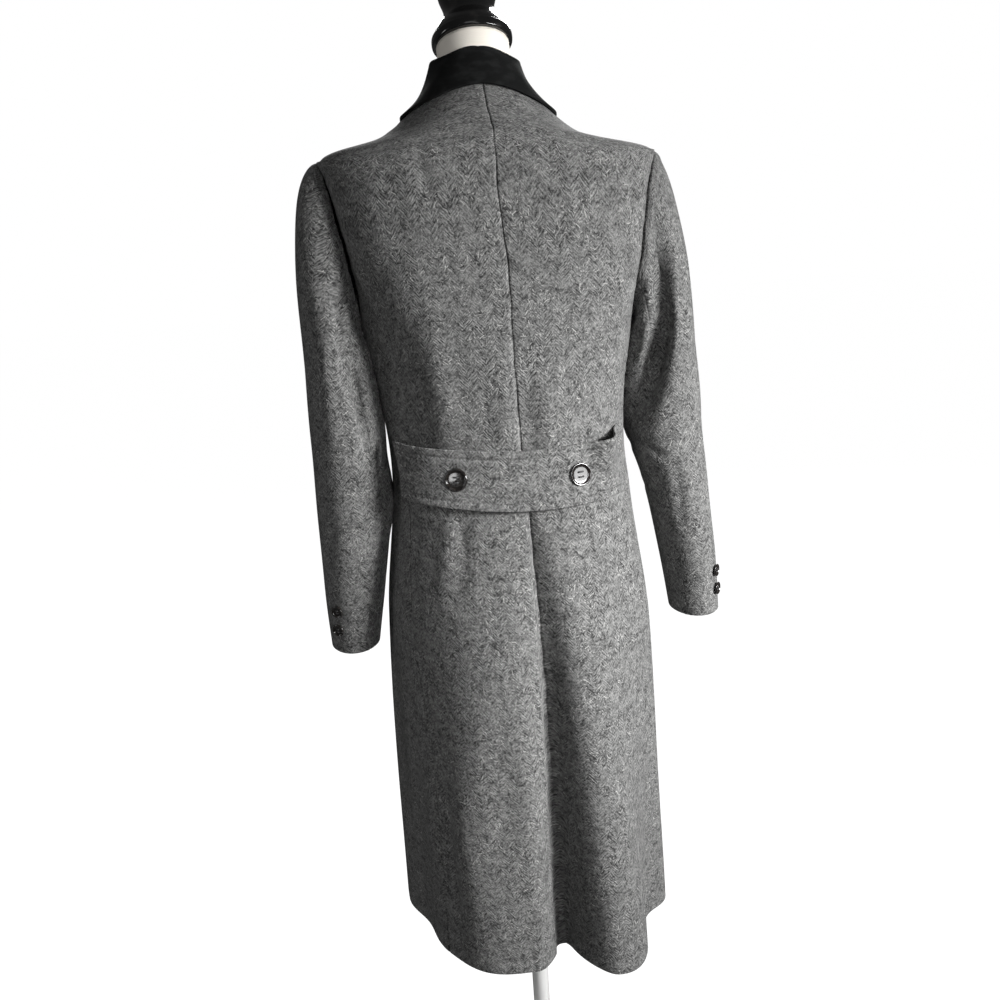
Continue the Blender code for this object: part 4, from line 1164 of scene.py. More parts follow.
def make_lapel(side, front):
    tree = surface_of(front)
    shares = np.linspace(LAPEL_START, 1, LAPEL_ROWS + 1)
    outer = np.empty((len(shares), LAPEL_COLUMNS + 1, 3))
    inner = np.empty_like(outer)
    start = np.array((-OVERLAP + ROLL_INSET, BREAK_HEIGHT))
    top, peak = np.array(LAPEL_TOP), np.array(LAPEL_PEAK)
    for i, share in enumerate(shares):
        roll = blend(start, top, share)
        edge = blend(start, peak, share)
        edge = edge + LAPEL_BULGE * math.sin(math.pi * share) * np.array((1, -1))
        for j, across in enumerate(crowded(LAPEL_COLUMNS)):
            x, height = blend(roll, edge, across)
            lift = blend(ROLL_LIFT, LAPEL_LIFT, rise(across, 0.0, ROLL_SHARE))
            x = side * x + float(section_column("shift", level_at(height)))
            before = Vector((x, BEFORE_COAT, HEM_HEIGHT + height))
            point, normal, _, _ = tree.ray_cast(before, Vector((0, 1, 0)))
            inner[i, j] = point + normal * lift
            outer[i, j] = point + normal * (lift + COAT_WALL)
    lengths = row_lengths(outer)
    along = np.broadcast_to((shares * np.linalg.norm(peak - start))[:, None], lengths.shape)
    uv = np.stack((side * lengths, along), axis=-1)
    reach = (FREE, FREE, FREE, FREE)
    name, node = f"lapel_face_{WORDS[side]}", f"lapel_{WORDS[side]}"
    piece = cloth_wall(name, outer, inner, uv, tweed, "wool", [node], reach)


for side in WORDS:
    make_lapel(side, fronts[side])


# Sleeves.
# Two-piece set-in sleeves of the same wool: an upper and an under piece, joined by a front and
# a hindarm seam. Turns run round a sleeve from its outside (0) over the back (90).
Head = namedtuple("Head", "reach slope puff ridge")
HEADS = {
    LEFT: Head(0.040, math.radians(10), 0.6, 0.0014),
    RIGHT: Head(0.026, math.radians(36), 0.0, 0.0016),
}
UNDERARM_REACH = 0.008
CAP_PULL = 0.40
SEAM_TURN = math.radians(126)
Sleeve = namedtuple("Sleeve", "place height left_out left_half right_out right_half back_shift half_depth")
SLEEVE = (
    Sleeve("bicep", 0.785, 0.206, 0.0410, 0.2090, 0.0440, 0.004, 0.060),
    Sleeve("upper_arm", 0.690, 0.2020, 0.0475, 0.2085, 0.0515, 0.004, 0.058),
    Sleeve("elbow", 0.600, 0.2040, 0.0475, 0.2245, 0.0425, 0.002, 0.056),
    Sleeve("forearm", 0.490, 0.2135, 0.0405, 0.2420, 0.0370, -0.004, 0.052),
    Sleeve("cuff", 0.410, 0.2205, 0.0325, 0.2510, 0.0330, -0.008, 0.047),
)
SleeveFold = namedtuple("SleeveFold", "side top foot top_turn foot_turn spread depth")
SLEEVE_FOLDS = (
    SleeveFold(RIGHT, 0.950, 0.640, 86, 138, 30, -0.015),
    SleeveFold(LEFT, 0.910, 0.660, 104, 122, 24, -0.006),
)
SLEEVE_CREASES = {
    LEFT: (
        Crease("hindarm_trough", 108, 0.860, 0.140, 0.0055, -0.0042, 12),
        Crease("hindarm_trough_low", 121, 0.745, 0.190, 0.0070, -0.0058, 3),
        Crease("outer_ridge", 72, 0.760, 0.240, 0.0100, 0.0025, 3),
        Crease("rest_on_ribs", 172, 0.780, 0.240, 0.0240, 0.0055, 0),
        Crease("rest_on_belt", 172, 0.610, 0.130, 0.0240, 0.0060, 0),
        Crease("forearm_dent", 44, 0.560, 0.110, 0.0090, -0.0026, 6),
        Crease("forearm_cross", 92, 0.505, 0.045, 0.0050, -0.0014, 82),
        Crease("inner_elbow_cross", 205, 0.640, 0.070, 0.0060, -0.0026, 62),
        Crease("inner_elbow_cross_low", 215, 0.600, 0.060, 0.0055, -0.0022, -58),
        Crease("front_trough", 282, 0.700, 0.200, 0.0090, -0.0026, 8),
        Crease("front_elbow_cross", 300, 0.610, 0.070, 0.0060, -0.0022, 66),
        Crease("underarm_pull", 146, 0.800, 0.070, 0.0060, -0.0024, 30),
        Crease("cap_dent", 60, 0.930, 0.090, 0.0080, -0.0012, -8),
    ),
    RIGHT: (
        Crease("fold_head", 94, 0.865, 0.180, 0.0120, -0.0110, -8),
        Crease("fold_foot", 132, 0.745, 0.290, 0.0175, -0.0140, -22),
        Crease("rest_on_ribs", 172, 0.745, 0.200, 0.0240, 0.0045, 0),
        Crease("fold_outer_lip", 56, 0.800, 0.280, 0.0090, 0.0024, -12),
        Crease("fold_inner_lip", 140, 0.841, 0.110, 0.0080, 0.0038, -12),
        Crease("underarm_pull", 151, 0.785, 0.080, 0.0080, -0.0055, -20),
        Crease("elbow_cross", 128, 0.650, 0.080, 0.0070, -0.0030, 58),
        Crease("forearm_trough", 104, 0.590, 0.150, 0.0080, -0.0018, -6),
        Crease("outer_dent", 44, 0.620, 0.140, 0.0110, -0.0016, 5),
        Crease("inner_elbow_cross", 212, 0.640, 0.070, 0.0060, -0.0026, -62),
        Crease("inner_elbow_cross_low", 205, 0.595, 0.060, 0.0055, -0.0022, 58),
        Crease("front_trough", 276, 0.690, 0.200, 0.0090, -0.0026, -8),
        Crease("front_elbow_cross", 296, 0.600, 0.070, 0.0060, -0.0022, -66),
    ),
}
SLEEVE_GIRTH_RADIUS = 0.050
HINDARM_SINK = 0.0007
HEAD_RIDGE_PLACE = 0.0065
HEAD_RIDGE_WIDTH = 0.0055
HEAD_RIDGE_TIP = (0.55, 0.95)
HEAD_SEAM_TIP = (0.3, 0.9)
SLEEVE_SEAM_FADE = 0.02
CAP_ROWS = 56
TUBE_ROWS = 110
UPPER_COLUMNS = 84
UNDER_COLUMNS = 44


def armhole_points(side, turn):
    """Sleeve's edge in the armhole."""
    return body_point(side_angle(side, armhole_angle(side, turn)), armhole_level(turn))


def sleeve_column(column, height):
    return table_column(SLEEVE[::-1], "height", column, height)


def sleeve_ring(side, turn, height):
    half = sleeve_column(WORDS[side] + "_half", height)
    x = side * (sleeve_column(WORDS[side] + "_out", height) + half * np.cos(turn))
    y = sleeve_column("back_shift", height) + sleeve_column("half_depth", height) * np.sin(turn)
    return np.stack((x, y, HEM_HEIGHT + height + 0 * turn), axis=-1)


def sleeve_fold(side, turn, height):
    """How far the folds move a sleeve's cloth outward."""
    moved = 0.0
    for fold in SLEEVE_FOLDS:
        if fold.side != side:
            continue
        down = (fold.top - height) / (fold.top - fold.foot)
        middle = blend(fold.top_turn, fold.foot_turn, down)
        away = wrapped(np.degrees(turn) - middle)
        moved = moved + fold.depth * bell(2 * down - 1) * bell(away / fold.spread)
    return moved


def sleeve_point(side, turn, along, folded=True):
    """Point of a sleeve: along runs 0 to 1 over the cap and 1 to 2 down to the cuff."""
    turn, along = np.broadcast_arrays(turn, along)
    top, cuff = SLEEVE[0].height, SLEEVE[-1].height
    tube = sleeve_ring(side, turn, blend(top, cuff, np.clip(along - 1, 0, 1)))
    t = np.clip(along, 0, 1)[..., None]
    start = armhole_points(side, turn)
    end = sleeve_ring(side, turn, np.full_like(turn, top))
    facing_up = (0.5 + 0.5 * np.cos(turn))[..., None]
    slope = HEADS[side].slope * facing_up
    zero = np.zeros_like(slope)
    backward = HEADS[side].puff * np.clip(np.sin(turn), 0, 1)[..., None]
    leave = np.concatenate((side * np.cos(slope), backward, -np.sin(slope)), axis=-1)
    first = start + leave * blend(UNDERARM_REACH, HEADS[side].reach, facing_up)
    drop = start[..., 2:] - end[..., 2:]
    second = end + np.concatenate((zero, zero, CAP_PULL * drop), axis=-1)
    s = 1 - t
    cap = s**3 * start + 3 * s * s * t * first + 3 * s * t * t * second + t**3 * end
    plain = np.where(along[..., None] <= 1, cap, tube)
    if not folded:
        return plain
    moved = np.clip(along, 0, 1) * sleeve_fold(side, turn, plain[..., 2] - HEM_HEIGHT)
    outward = np.stack((side * np.cos(turn), np.sin(turn), 0 * turn), axis=-1)
    return plain + moved[..., None] * outward


def sleeve_normal(side, turn, along):
    low = np.clip(along - TINY, 0, 2)
    high = np.clip(along + TINY, 0, 2)
    round_step = sleeve_point(side, turn + TINY, along) - sleeve_point(side, turn - TINY, along)
    down_step = sleeve_point(side, turn, high) - sleeve_point(side, turn, low)
    return unit(-side * np.cross(round_step, down_step))


def sleeve_map(side, points, turns, above_bicep):
    """Place of a sleeve piece's points on its cloth: the grain runs down the arm, the breadth round it."""
    out_column, half_column = WORDS[side] + "_out", WORDS[side] + "_half"
    heights = np.minimum(points[..., 2] - HEM_HEIGHT, SLEEVE[0].height)
    half, deep = sleeve_column(half_column, heights), sleeve_column("half_depth", heights)
    middle = 1.0 if turns.min() < 0 else -1.0
    across = middle * (side * points[..., 0] - sleeve_column(out_column, heights)) / half
    along = middle * (points[..., 1] - sleeve_column("back_shift", heights)) / deep
    steps = np.linspace(-np.pi, np.pi, ARC_STEPS)
    deep_share = SLEEVE[0].half_depth / getattr(SLEEVE[0], half_column)
    lengths = row_lengths(np.stack((np.cos(steps), np.sin(steps) * deep_share), axis=-1)[None])[0]
    arc = np.interp(np.arctan2(along, across), steps, lengths - lengths[-1] / 2)
    breadth = half * np.hypot(across, along) * arc
    straight = points[..., 2] - HEM_HEIGHT - SLEEVE[0].height
    over_head = np.clip(np.cos(turns), 0, 1)
    return np.stack((side * breadth, blend(straight, above_bicep, over_head)), axis=-1)


def make_sleeve_piece(side, layer, first_turn, last_turn, columns):
    """Upper or under sleeve between its two seams."""
    cap = crowded(2 * CAP_ROWS)[: CAP_ROWS + 1] * 2
    rows = np.concatenate((cap[:-1], np.linspace(1, 2, TUBE_ROWS + 1)))
    turns = blend(first_turn, last_turn, crowded(columns))
    turns = np.broadcast_to(turns, (len(rows), columns + 1))
    along = np.broadcast_to(rows[:, None], turns.shape)
    plain = sleeve_point(side, turns, along)
    normal = sleeve_normal(side, turns, along)
    from_first = row_lengths(plain)
    to_last = from_first[:, -1:] - from_first
    down = row_lengths(plain.transpose(1, 0, 2)).T
    heights = plain[..., 2] - HEM_HEIGHT
    loose = crease_depth(SLEEVE_CREASES[side], np.degrees(turns), heights, SLEEVE_GIRTH_RADIUS)
    to_seam = np.minimum(from_first, to_last)
    hang = drape(turns * SLEEVE_GIRTH_RADIUS, along) * rise(to_seam, 0.0, SLEEVE_SEAM_FADE)
    loose = (loose + hang) * rise(down, 0.0, SEAM_FADE)
    ridge = hump((down - HEAD_RIDGE_PLACE) / HEAD_RIDGE_WIDTH) * np.abs(np.cos(turns / 2))
    ridge = ridge * (1 - TIP_SMOOTH[side] * rise(np.cos(turns), *HEAD_RIDGE_TIP))
    beside_tip = 1 - TIP_SMOOTH[side] * rise(np.cos(turns), *HEAD_SEAM_TIP)
    sewn = seam_roll(from_first, down, HINDARM_SINK) + seam_roll(to_last, down, HINDARM_SINK)
    sewn = sewn + beside_tip * seam_roll(down, from_first)
    outer = plain + (loose + HEADS[side].ridge * ridge + sewn)[..., None] * normal
    inner = plain + (loose - COAT_WALL)[..., None] * normal
    smooth = sleeve_point(side, turns, along, folded=False)
    uv = sleeve_map(side, smooth, turns, down[CAP_ROWS] - down)
    slack = row_lengths(plain + loose[..., None] * normal) - row_lengths(smooth)
    uv[..., 0] += side * (slack - slack[:, columns // 2][:, None])
    name, node = f"{layer}_sleeve_{WORDS[side]}", f"sleeve_{WORDS[side]}_{layer}"
    reach = (TUCKED, SEWN, FREE, SEWN)
    piece = cloth_wall(name, outer, inner, uv, tweed, "wool", [node], reach)


for side in WORDS:
    make_sleeve_piece(side, "upper", -SEAM_TURN, SEAM_TURN, UPPER_COLUMNS)
    make_sleeve_piece(side, "under", SEAM_TURN, 2 * np.pi - SEAM_TURN, UNDER_COLUMNS)


# Half belt.
# A doubled band of the wool across the back waist, sewn in at both sides and stitched along both edges.
# Its ends stand a little off the back, most at the upper right.
BELT_WALL = 0.0034
BELT_MIDDLE = 0.6545
BELT_WIDTH = 0.071
BELT_END_SHARES = {LEFT: (0.010, 0.020), RIGHT: (0.060, 0.080)}
BELT_GAP = 0.0010
BELT_LOW_LIFT = 0.0046
BELT_END_RISE = 0.009
BELT_END_RISE_ANGLES = (128, 150)
BeltLoose = namedtuple("BeltLoose", "angle spread low high")
BELT_LOOSE = (BeltLoose(138, 12, 0.0010, 0.0200), BeltLoose(32, 32, 0.0045, 0.0070))
BELT_ROWS = 64
BELT_COLUMNS = 150
BELT_EDGE = 0.0025
BELT_EDGE_SINK = 0.0006
BELT_PUFF = 0.0006
STITCH_INSET = 0.0085
STITCH_SINK = 0.0011
STITCH_SPREAD = 0.0014
STITCH_PITCH = 0.0036
STITCH_LENGTH = 0.0027
STITCH_THICKNESS = 0.0007
STITCH_SIDES = 8
STITCH_RINGS = 5
STITCH_PATH_ROWS = 220
STITCH_PATH_SPAN = (0.01, 0.99)
THREAD_DARK = (0.022, 0.022, 0.023, 1.0)
THREAD_GREY = (0.060, 0.060, 0.060, 1.0)
THREAD_ROUGHNESS = (0.50, 0.72)


def make_thread():
    made, tree, shader, place = new_material("grey_sewing_thread")
    twist = mottled(tree, place, scale=2600, detail=1.0)
    colour = mixed(tree, twist, THREAD_DARK, THREAD_GREY)
    feed(tree, shader, {"Base Color": colour, "Roughness": between(tree, twist, *THREAD_ROUGHNESS)})
    bumped(tree, shader, twist, distance=0.0001, strength=0.4)
    return made


def geometry_tree(name, inputs):
    """Empty geometry tree with a geometry input and output, and named inputs for its sizes."""
    tree = bpy.data.node_groups.new(name, "GeometryNodeTree")
    tree.interface.new_socket("Geometry", in_out="INPUT", socket_type="NodeSocketGeometry")
    made = {}
    for word, kind in inputs:
        made[word] = tree.interface.new_socket(word, in_out="INPUT", socket_type=kind).identifier
    tree.interface.new_socket("Geometry", in_out="OUTPUT", socket_type="NodeSocketGeometry")
    return tree, tree.nodes.new("NodeGroupInput"), tree.nodes.new("NodeGroupOutput"), made


def close_tree(tree, given, result, shape):
    """Realized, smooth and finished end of a geometry tree."""
    real = put(tree, "GeometryNodeRealizeInstances", {0: shape}).outputs[0]
    smooth = put(tree, "GeometryNodeSetShadeSmooth", {"Geometry": real}).outputs[0]
    inputs = {"Geometry": smooth, "Material": given.outputs["Material"]}
    feed(tree, result, {0: put(tree, "GeometryNodeSetMaterial", inputs).outputs[0]})


def make_stitch_tree():
    """Row of stitches along a path: one small bar to each step, laid along the path."""
    sizes = (
        ("Pitch", "NodeSocketFloat"),
        ("Stitch size", "NodeSocketVector"),
        ("Material", "NodeSocketMaterial"),
    )
    tree, given, result, inputs = geometry_tree("Row of stitches", sizes)
    path = put(tree, "GeometryNodeMeshToCurve", {0: given.outputs["Geometry"]}).outputs[0]
    sizes = {"Curve": path, "Length": given.outputs["Pitch"]}
    steps = put(tree, "GeometryNodeResampleCurve", sizes, mode="LENGTH").outputs[0]
    sizes = {"Segments": STITCH_SIDES, "Rings": STITCH_RINGS, "Radius": 0.5}
    bar = put(tree, "GeometryNodeMeshUVSphere", sizes).outputs[0]
    sizes = {"Geometry": bar, "Scale": given.outputs["Stitch size"]}
    sized = put(tree, "GeometryNodeTransform", sizes).outputs[0]
    tangent = put(tree, "GeometryNodeInputTangent").outputs[0]
    turn = put(tree, "FunctionNodeAlignRotationToVector", {"Vector": tangent}, axis="X").outputs[0]
    sizes = {"Points": steps, "Instance": sized, "Rotation": turn}
    copies = put(tree, "GeometryNodeInstanceOnPoints", sizes).outputs[0]
    close_tree(tree, given, result, copies)
    return tree, inputs


def path_object(name, paths):
    """Object that holds lines of points, for a geometry tree to follow."""
    points, edges = [], []
    for path in paths:
        first = len(points)
        points.extend(np.asarray(path).tolist())
        edges.extend((first + k, first + k + 1) for k in range(len(path) - 1))
    mesh = bpy.data.meshes.new(name)
    mesh.from_pydata(points, edges, [])
    made = bpy.data.objects.new(name, mesh)
    bpy.context.scene.collection.objects.link(made)
    return made


def grown(made, tree, inputs, values):
    """Runs a geometry tree on an object and keeps its result as a plain mesh."""
    modifier = made.modifiers.new("shape", "NODES")
    modifier.node_group = tree
    for name, value in values.items():
        modifier[inputs[name]] = value
    shaped = made.evaluated_get(bpy.context.evaluated_depsgraph_get())
    mesh = bpy.data.meshes.new_from_object(shaped)
    made.modifiers.clear()
    made.data = mesh
    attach(made, "root")
    return made


thread = make_thread()
STITCH_TREE, STITCH_INPUTS = make_stitch_tree()


def stitched(name, paths):
    """Rows of topstitching along paths on the cloth."""
    size = (STITCH_LENGTH, STITCH_THICKNESS, STITCH_THICKNESS)
    values = {"Pitch": STITCH_PITCH, "Stitch size": size, "Material": thread}
    return grown(path_object(name, paths), STITCH_TREE, STITCH_INPUTS, values)


def belt_grid(columns, rows):
    """Angles and levels of the half belt, from its left end to its right end."""
    low = float(level_at(BELT_MIDDLE - BELT_WIDTH / 2))
    high = float(level_at(BELT_MIDDLE + BELT_WIDTH / 2))
    levels = blend(low, high, rows)
    ends = []
    for side in WORDS:
        edge = panel_start(side, levels, np.full(len(levels), -np.pi), 1)
        middle = side_angle(side, centre_back(levels))
        share = blend(*BELT_END_SHARES[side], rows)
        ends.append(side_angle(side, blend(edge, middle, share)))
    start, stop = ends
    angles = blend(start[:, None], stop[:, None], columns)
    upward = (levels - low) / (high - low)
    past = np.degrees(angles) - BELT_END_RISE_ANGLES[0]
    near_end = np.clip(past / np.ptp(BELT_END_RISE_ANGLES), 0, 1)
    return angles, levels[:, None] + BELT_END_RISE * upward[:, None] * near_end**2, upward


def belt_gap(angles, upward):
    """How far the belt lies off the back, which is most at its ends."""
    gap = BELT_GAP + BELT_LOW_LIFT * (1 - upward[:, None]) ** 3
    for loose in BELT_LOOSE:
        near = bell((np.degrees(angles) - loose.angle) / loose.spread)
        gap = gap + near * blend(loose.low, loose.high, upward[:, None])
    return gap


def make_belt():
    angles, grid, upward = belt_grid(crowded(BELT_COLUMNS), crowded(BELT_ROWS))
    gap = belt_gap(angles, upward)
    from_end = row_lengths(body_point(angles, grid))
    to_end = from_end[:, -1:] - from_end
    to_edge = BELT_WIDTH * np.minimum(upward, 1 - upward)[:, None]
    edge = -BELT_EDGE_SINK * np.clip(1 - to_edge / BELT_EDGE, 0, 1) ** 2
    sewn = -STITCH_SINK * hump((to_edge - STITCH_INSET) / STITCH_SPREAD)
    puff = BELT_PUFF * rise(to_edge, STITCH_INSET, 2 * STITCH_INSET) + drape(2 * from_end, grid)
    ends = seam_roll(from_end, grid) + seam_roll(to_end, grid)
    outer = on_body(angles, grid, gap + BELT_WALL + edge + sewn + puff + ends)
    inner = on_body(angles, grid, gap)
    middle = from_end[:, BELT_COLUMNS // 2][:, None]
    uv = np.stack((middle - from_end, grid), axis=-1)
    reach = (FREE, FREE, FREE, FREE)
    piece = cloth_wall("half_belt_band", outer, inner, uv, tweed, "wool", ["half_belt"], reach)
    rows = np.array((STITCH_INSET / BELT_WIDTH, 1 - STITCH_INSET / BELT_WIDTH))
    columns = np.linspace(*STITCH_PATH_SPAN, STITCH_PATH_ROWS)
    path_angles, path_levels, path_up = belt_grid(columns, rows)
    lift = belt_gap(path_angles, path_up) + BELT_WALL - STITCH_SINK + STITCH_THICKNESS / 3
    stitches = stitched("belt_topstitching", on_body(path_angles, path_levels, lift))


make_belt()


# Collar.
# A turned-down collar of black cotton velvet, sewn into the neck seam.
# It stands up against the form's neck, rolls over and falls on the back and the lapels.
COLLAR_WALL = 0.0030
Collar = namedtuple("Collar", "place angle stand fall")
COLLAR = (
    Collar("centre_back", 0, 0.030, 0.024),
    Collar("back_neck", 45, 0.035, 0.027),
    Collar("side_neck", 90, 0.041, 0.036),
    Collar("front_end", 136, 0.040, 0.058),
)
COLLAR_SEAT = 0.0009
COLLAR_ROLL = 0.0032
COLLAR_LIFT = 0.0030
COLLAR_BOW = 0.0075
COLLAR_BOW_SPREAD = 45
NECK_FIT = 0.0018
COLLAR_COLUMNS = 150
COLLAR_CROWDING = 0.5
COLLAR_MAP_RADIUS = 1.5 * NECK_RADIUS
STAND_POINTS = 12
ROLL_POINTS = 12
FALL_POINTS = 26
VELVET_BLACK = (0.0030, 0.0034, 0.0034, 1.0)
VELVET_NAP = (0.0150, 0.0158, 0.0158, 1.0)
VELVET_ROUGHNESS = (0.78, 0.95)
VELVET_BRUSHED = (0.40, 0.72)
PILE_SHADE = (0.4, 1.0)


def make_velvet():
    """Short dense pile: black into the nap, a little lighter where it is brushed another way."""
    made, tree, shader, place = new_material("black_velvet")
    brushed = mottled(tree, place, scale=(60, 60, 110), detail=3.0)
    pile = mottled(tree, place, scale=2400, detail=1.0)
    nap = ranged(tree, brushed, *VELVET_BRUSHED, smooth=True)
    shade = product(tree, nap, between(tree, pile, *PILE_SHADE))
    shading = {
        "Base Color": mixed(tree, shade, VELVET_BLACK, VELVET_NAP),
        "Roughness": between(tree, brushed, *VELVET_ROUGHNESS),
        "Sheen Weight": 0.07,
        "Sheen Roughness": 0.35,
        "Specular IOR Level": 0.15,
    }
    feed(tree, shader, shading)
    bumped(tree, shader, pile, distance=0.0003, strength=0.5)
    return made


def collar_column(column, from_back):
    return float(table_column(COLLAR, "angle", column, from_back))


def fold_ring_radius(angle, height):
    """Distance from the body's axis to the collar's fold, which follows the tilted neck."""
    centre = neck_centre(height)
    clear = NECK_FIT + COLLAR_WALL / 2 + COLLAR_ROLL
    wide = NECK_RADIUS + clear
    deep = NECK_RADIUS / math.cos(NECK_TILT) + clear
    square = (math.cos(angle) / wide) ** 2 + (math.sin(angle) / deep) ** 2
    linear = centre * math.sin(angle) / deep**2
    rest = (centre / deep) ** 2 - 1
    return (linear + math.sqrt(linear**2 - square * rest)) / square


def collar_line(angle):
    """Middle line of the collar in the upright plane at an angle, as distance and height."""
    from_back = abs(math.degrees(angle) - 90)
    level = level_of("neck")
    base = on_body(angle, level, -COAT_WALL / 2)
    edge = on_body(angle, level - collar_column("fall", from_back), COLLAR_LIFT)
    fold_height = base[2] + collar_column("stand", from_back)
    fold = float(fold_ring_radius(angle, fold_height))
    low = np.array((math.hypot(base[0] - NECK_SHIFT, base[1]), base[2] + COLLAR_SEAT))
    end = np.array((math.hypot(edge[0] - NECK_SHIFT, edge[1]), edge[2]))
    centre = np.array((fold, fold_height - COLLAR_ROLL))
    stand = np.linspace(low, centre - (COLLAR_ROLL, 0), STAND_POINTS)
    steps = np.linspace(np.pi, 0, ROLL_POINTS + 1)[1:-1]
    roll = centre + COLLAR_ROLL * np.stack((np.cos(steps), np.sin(steps)), axis=-1)
    share = np.linspace(0, 1, FALL_POINTS)[:, None]
    start = centre + (COLLAR_ROLL, 0)
    bow = COLLAR_BOW * bell((from_back - 90) / COLLAR_BOW_SPREAD) * np.sin(np.pi * share)
    inward = unit(np.array((end[1] - start[1], start[0] - end[0])))
    fall = blend(start, end, share) + bow * inward
    return np.concatenate((stand, roll, fall))


def make_collar():
    neck = np.array((level_of("neck"),))
    front = float(np.pi / 2 - front_edge(neck)[0])
    angles = blend(-front, np.pi + front, crowded(COLLAR_COLUMNS, COLLAR_CROWDING))
    outer, inner = [], []
    for angle in angles:
        line = collar_line(angle)
        ahead = np.gradient(line, axis=0)
        across = unit(np.stack((-ahead[:, 1], ahead[:, 0]), axis=-1))
        for rows, half in ((outer, COLLAR_WALL / 2), (inner, -COLLAR_WALL / 2)):
            moved = line + half * across
            rows.append([(NECK_SHIFT + r * math.cos(angle), r * math.sin(angle), z) for r, z in moved])
    outer, inner = np.array(outer), np.array(inner)
    across = row_lengths(outer)
    round_neck = np.broadcast_to((angles * COLLAR_MAP_RADIUS)[:, None], across.shape)
    uv = np.stack((across, round_neck), axis=-1)
    reach = (FREE, FREE, FREE, SEWN)
    piece = cloth_wall("velvet_collar", outer, inner, uv, make_velvet(), "velvet", ["collar"], reach)


make_collar()


# Buttons.
# Turned buttons of dark polished horn with a raised rim, a dished face and four holes.
# Each is sewn on with two bars of thread: two large ones on the belt, six on the front
# and two small ones on each cuff.
HORN_DARK = (0.008, 0.007, 0.0065, 1.0)
HORN_STREAK = (0.040, 0.034, 0.029, 1.0)
HORN_STREAKED = (0.5, 0.75)
HORN_ROUGHNESS = (0.06, 0.16)
BUTTON_SIDES = 64
BUTTON_OUTLINE = (
    # share of the radius and of the whole height
    (0.00, 0.00),
    (0.30, 0.00),
    (0.30, 0.22),
    (0.80, 0.22),
    (1.00, 0.52),
    (0.985, 0.86),
    (0.93, 1.00),
    (0.84, 0.96),
    (0.76, 0.76),
    (0.66, 0.72),
    (0.00, 0.69),
)
HOLE_PLACE = 0.21
HOLE_RADIUS = 0.085
HOLE_SIDES = 20
DRILL_DEPTH = 2.0
DRILL_HEIGHT = 1.3
BUTTON_SHARP_ANGLE = math.radians(50)
THREAD_SHARE = 0.062
THREAD_ARCH = 0.10
THREAD_DIP = 0.25
THREAD_FACE = 0.70
THREAD_STEPS = 14
THREAD_SIDES = 8
BUTTON_NODES = [name for name in sorted(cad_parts) if "button" in name]


def make_horn():
    made, tree, shader, place = new_material("dark_horn")
    streak = ranged(tree, mottled(tree, place, scale=(240, 240, 900), detail=3.0), *HORN_STREAKED)
    rub = mottled(tree, place, scale=420)
    shading = {
        "Base Color": mixed(tree, streak, HORN_DARK, HORN_STREAK),
        "Roughness": between(tree, rub, *HORN_ROUGHNESS),
        "Coat Weight": 0.7,
        "Coat Roughness": 0.05,
    }
    feed(tree, shader, shading)
    bumped(tree, shader, rub, distance=0.0001, strength=0.05)
    return made


def make_thread_tree():
    """Round thread along each path."""
    sizes = (("Thickness", "NodeSocketFloat"), ("Material", "NodeSocketMaterial"))
    tree, given, result, inputs = geometry_tree("Sewing thread", sizes)
    path = put(tree, "GeometryNodeMeshToCurve", {0: given.outputs["Geometry"]}).outputs[0]
    sizes = {"Resolution": THREAD_SIDES, "Radius": product(tree, given.outputs["Thickness"], 0.5)}
    ring = put(tree, "GeometryNodeCurvePrimitiveCircle", sizes).outputs[0]
    sizes = {"Curve": path, "Profile Curve": ring, "Fill Caps": True}
    tube = put(tree, "GeometryNodeCurveToMesh", sizes).outputs[0]
    close_tree(tree, given, result, tube)
    return tree, inputs


def pierced_button():
    """Points and faces of a button of radius and height 1, with its four holes cut through."""
    points, faces = turned(eased(BUTTON_OUTLINE, rounds=2), BUTTON_SIDES)
    blank = bpy.data.meshes.new("button_blank")
    blank.from_pydata(points.tolist(), [], faces)
    body = bpy.data.objects.new("button_blank", blank)
    drills = bmesh.new()
    for x in (-HOLE_PLACE, HOLE_PLACE):
        for y in (-HOLE_PLACE, HOLE_PLACE):
            bmesh.ops.create_cone(
                drills,
                cap_ends=True,
                segments=HOLE_SIDES,
                radius1=HOLE_RADIUS,
                radius2=HOLE_RADIUS,
                depth=DRILL_DEPTH,
                matrix=Matrix.Translation((x, y, DRILL_HEIGHT)),
            )
    drill_mesh = bpy.data.meshes.new("button_drills")
    drills.to_mesh(drill_mesh)
    drills.free()
    cutter = bpy.data.objects.new("button_drills", drill_mesh)
    for made in (body, cutter):
        bpy.context.scene.collection.objects.link(made)
    cut = body.modifiers.new("holes", "BOOLEAN")
    cut.operation = "DIFFERENCE"
    cut.solver = "EXACT"
    cut.object = cutter
    done = bpy.data.meshes.new_from_object(body.evaluated_get(bpy.context.evaluated_depsgraph_get()))
    for made in (body, cutter):
        bpy.data.objects.remove(made)
    points = np.array([vertex.co for vertex in done.vertices])
    faces = [tuple(face.vertices) for face in done.polygons]
    bpy.data.meshes.remove(done)
    return points, faces


def button_frame(node):
    """Seat, outward axis, level direction, radius and height of a button, from its solid."""
    points = np.unique(np.round([v.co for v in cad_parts[node].data.vertices], 6), axis=0)
    centre = points.mean(axis=0)
    _, _, ways = np.linalg.svd(points - centre)
    axis = ways[2]
    along = (points - centre) @ axis
    from_axis = np.linalg.norm(points - centre - along[:, None] * axis, axis=1)
    if from_axis[along > 0].mean() < from_axis[along < 0].mean():
        axis, along = -axis, -along
    across = unit(np.cross((0.0, 0.0, 1.0), axis))
    upward = np.cross(axis, across)
    turn = np.stack((across, upward, axis), axis=1)
    return centre + along.min() * axis, turn, from_axis.max(), np.ptp(along)


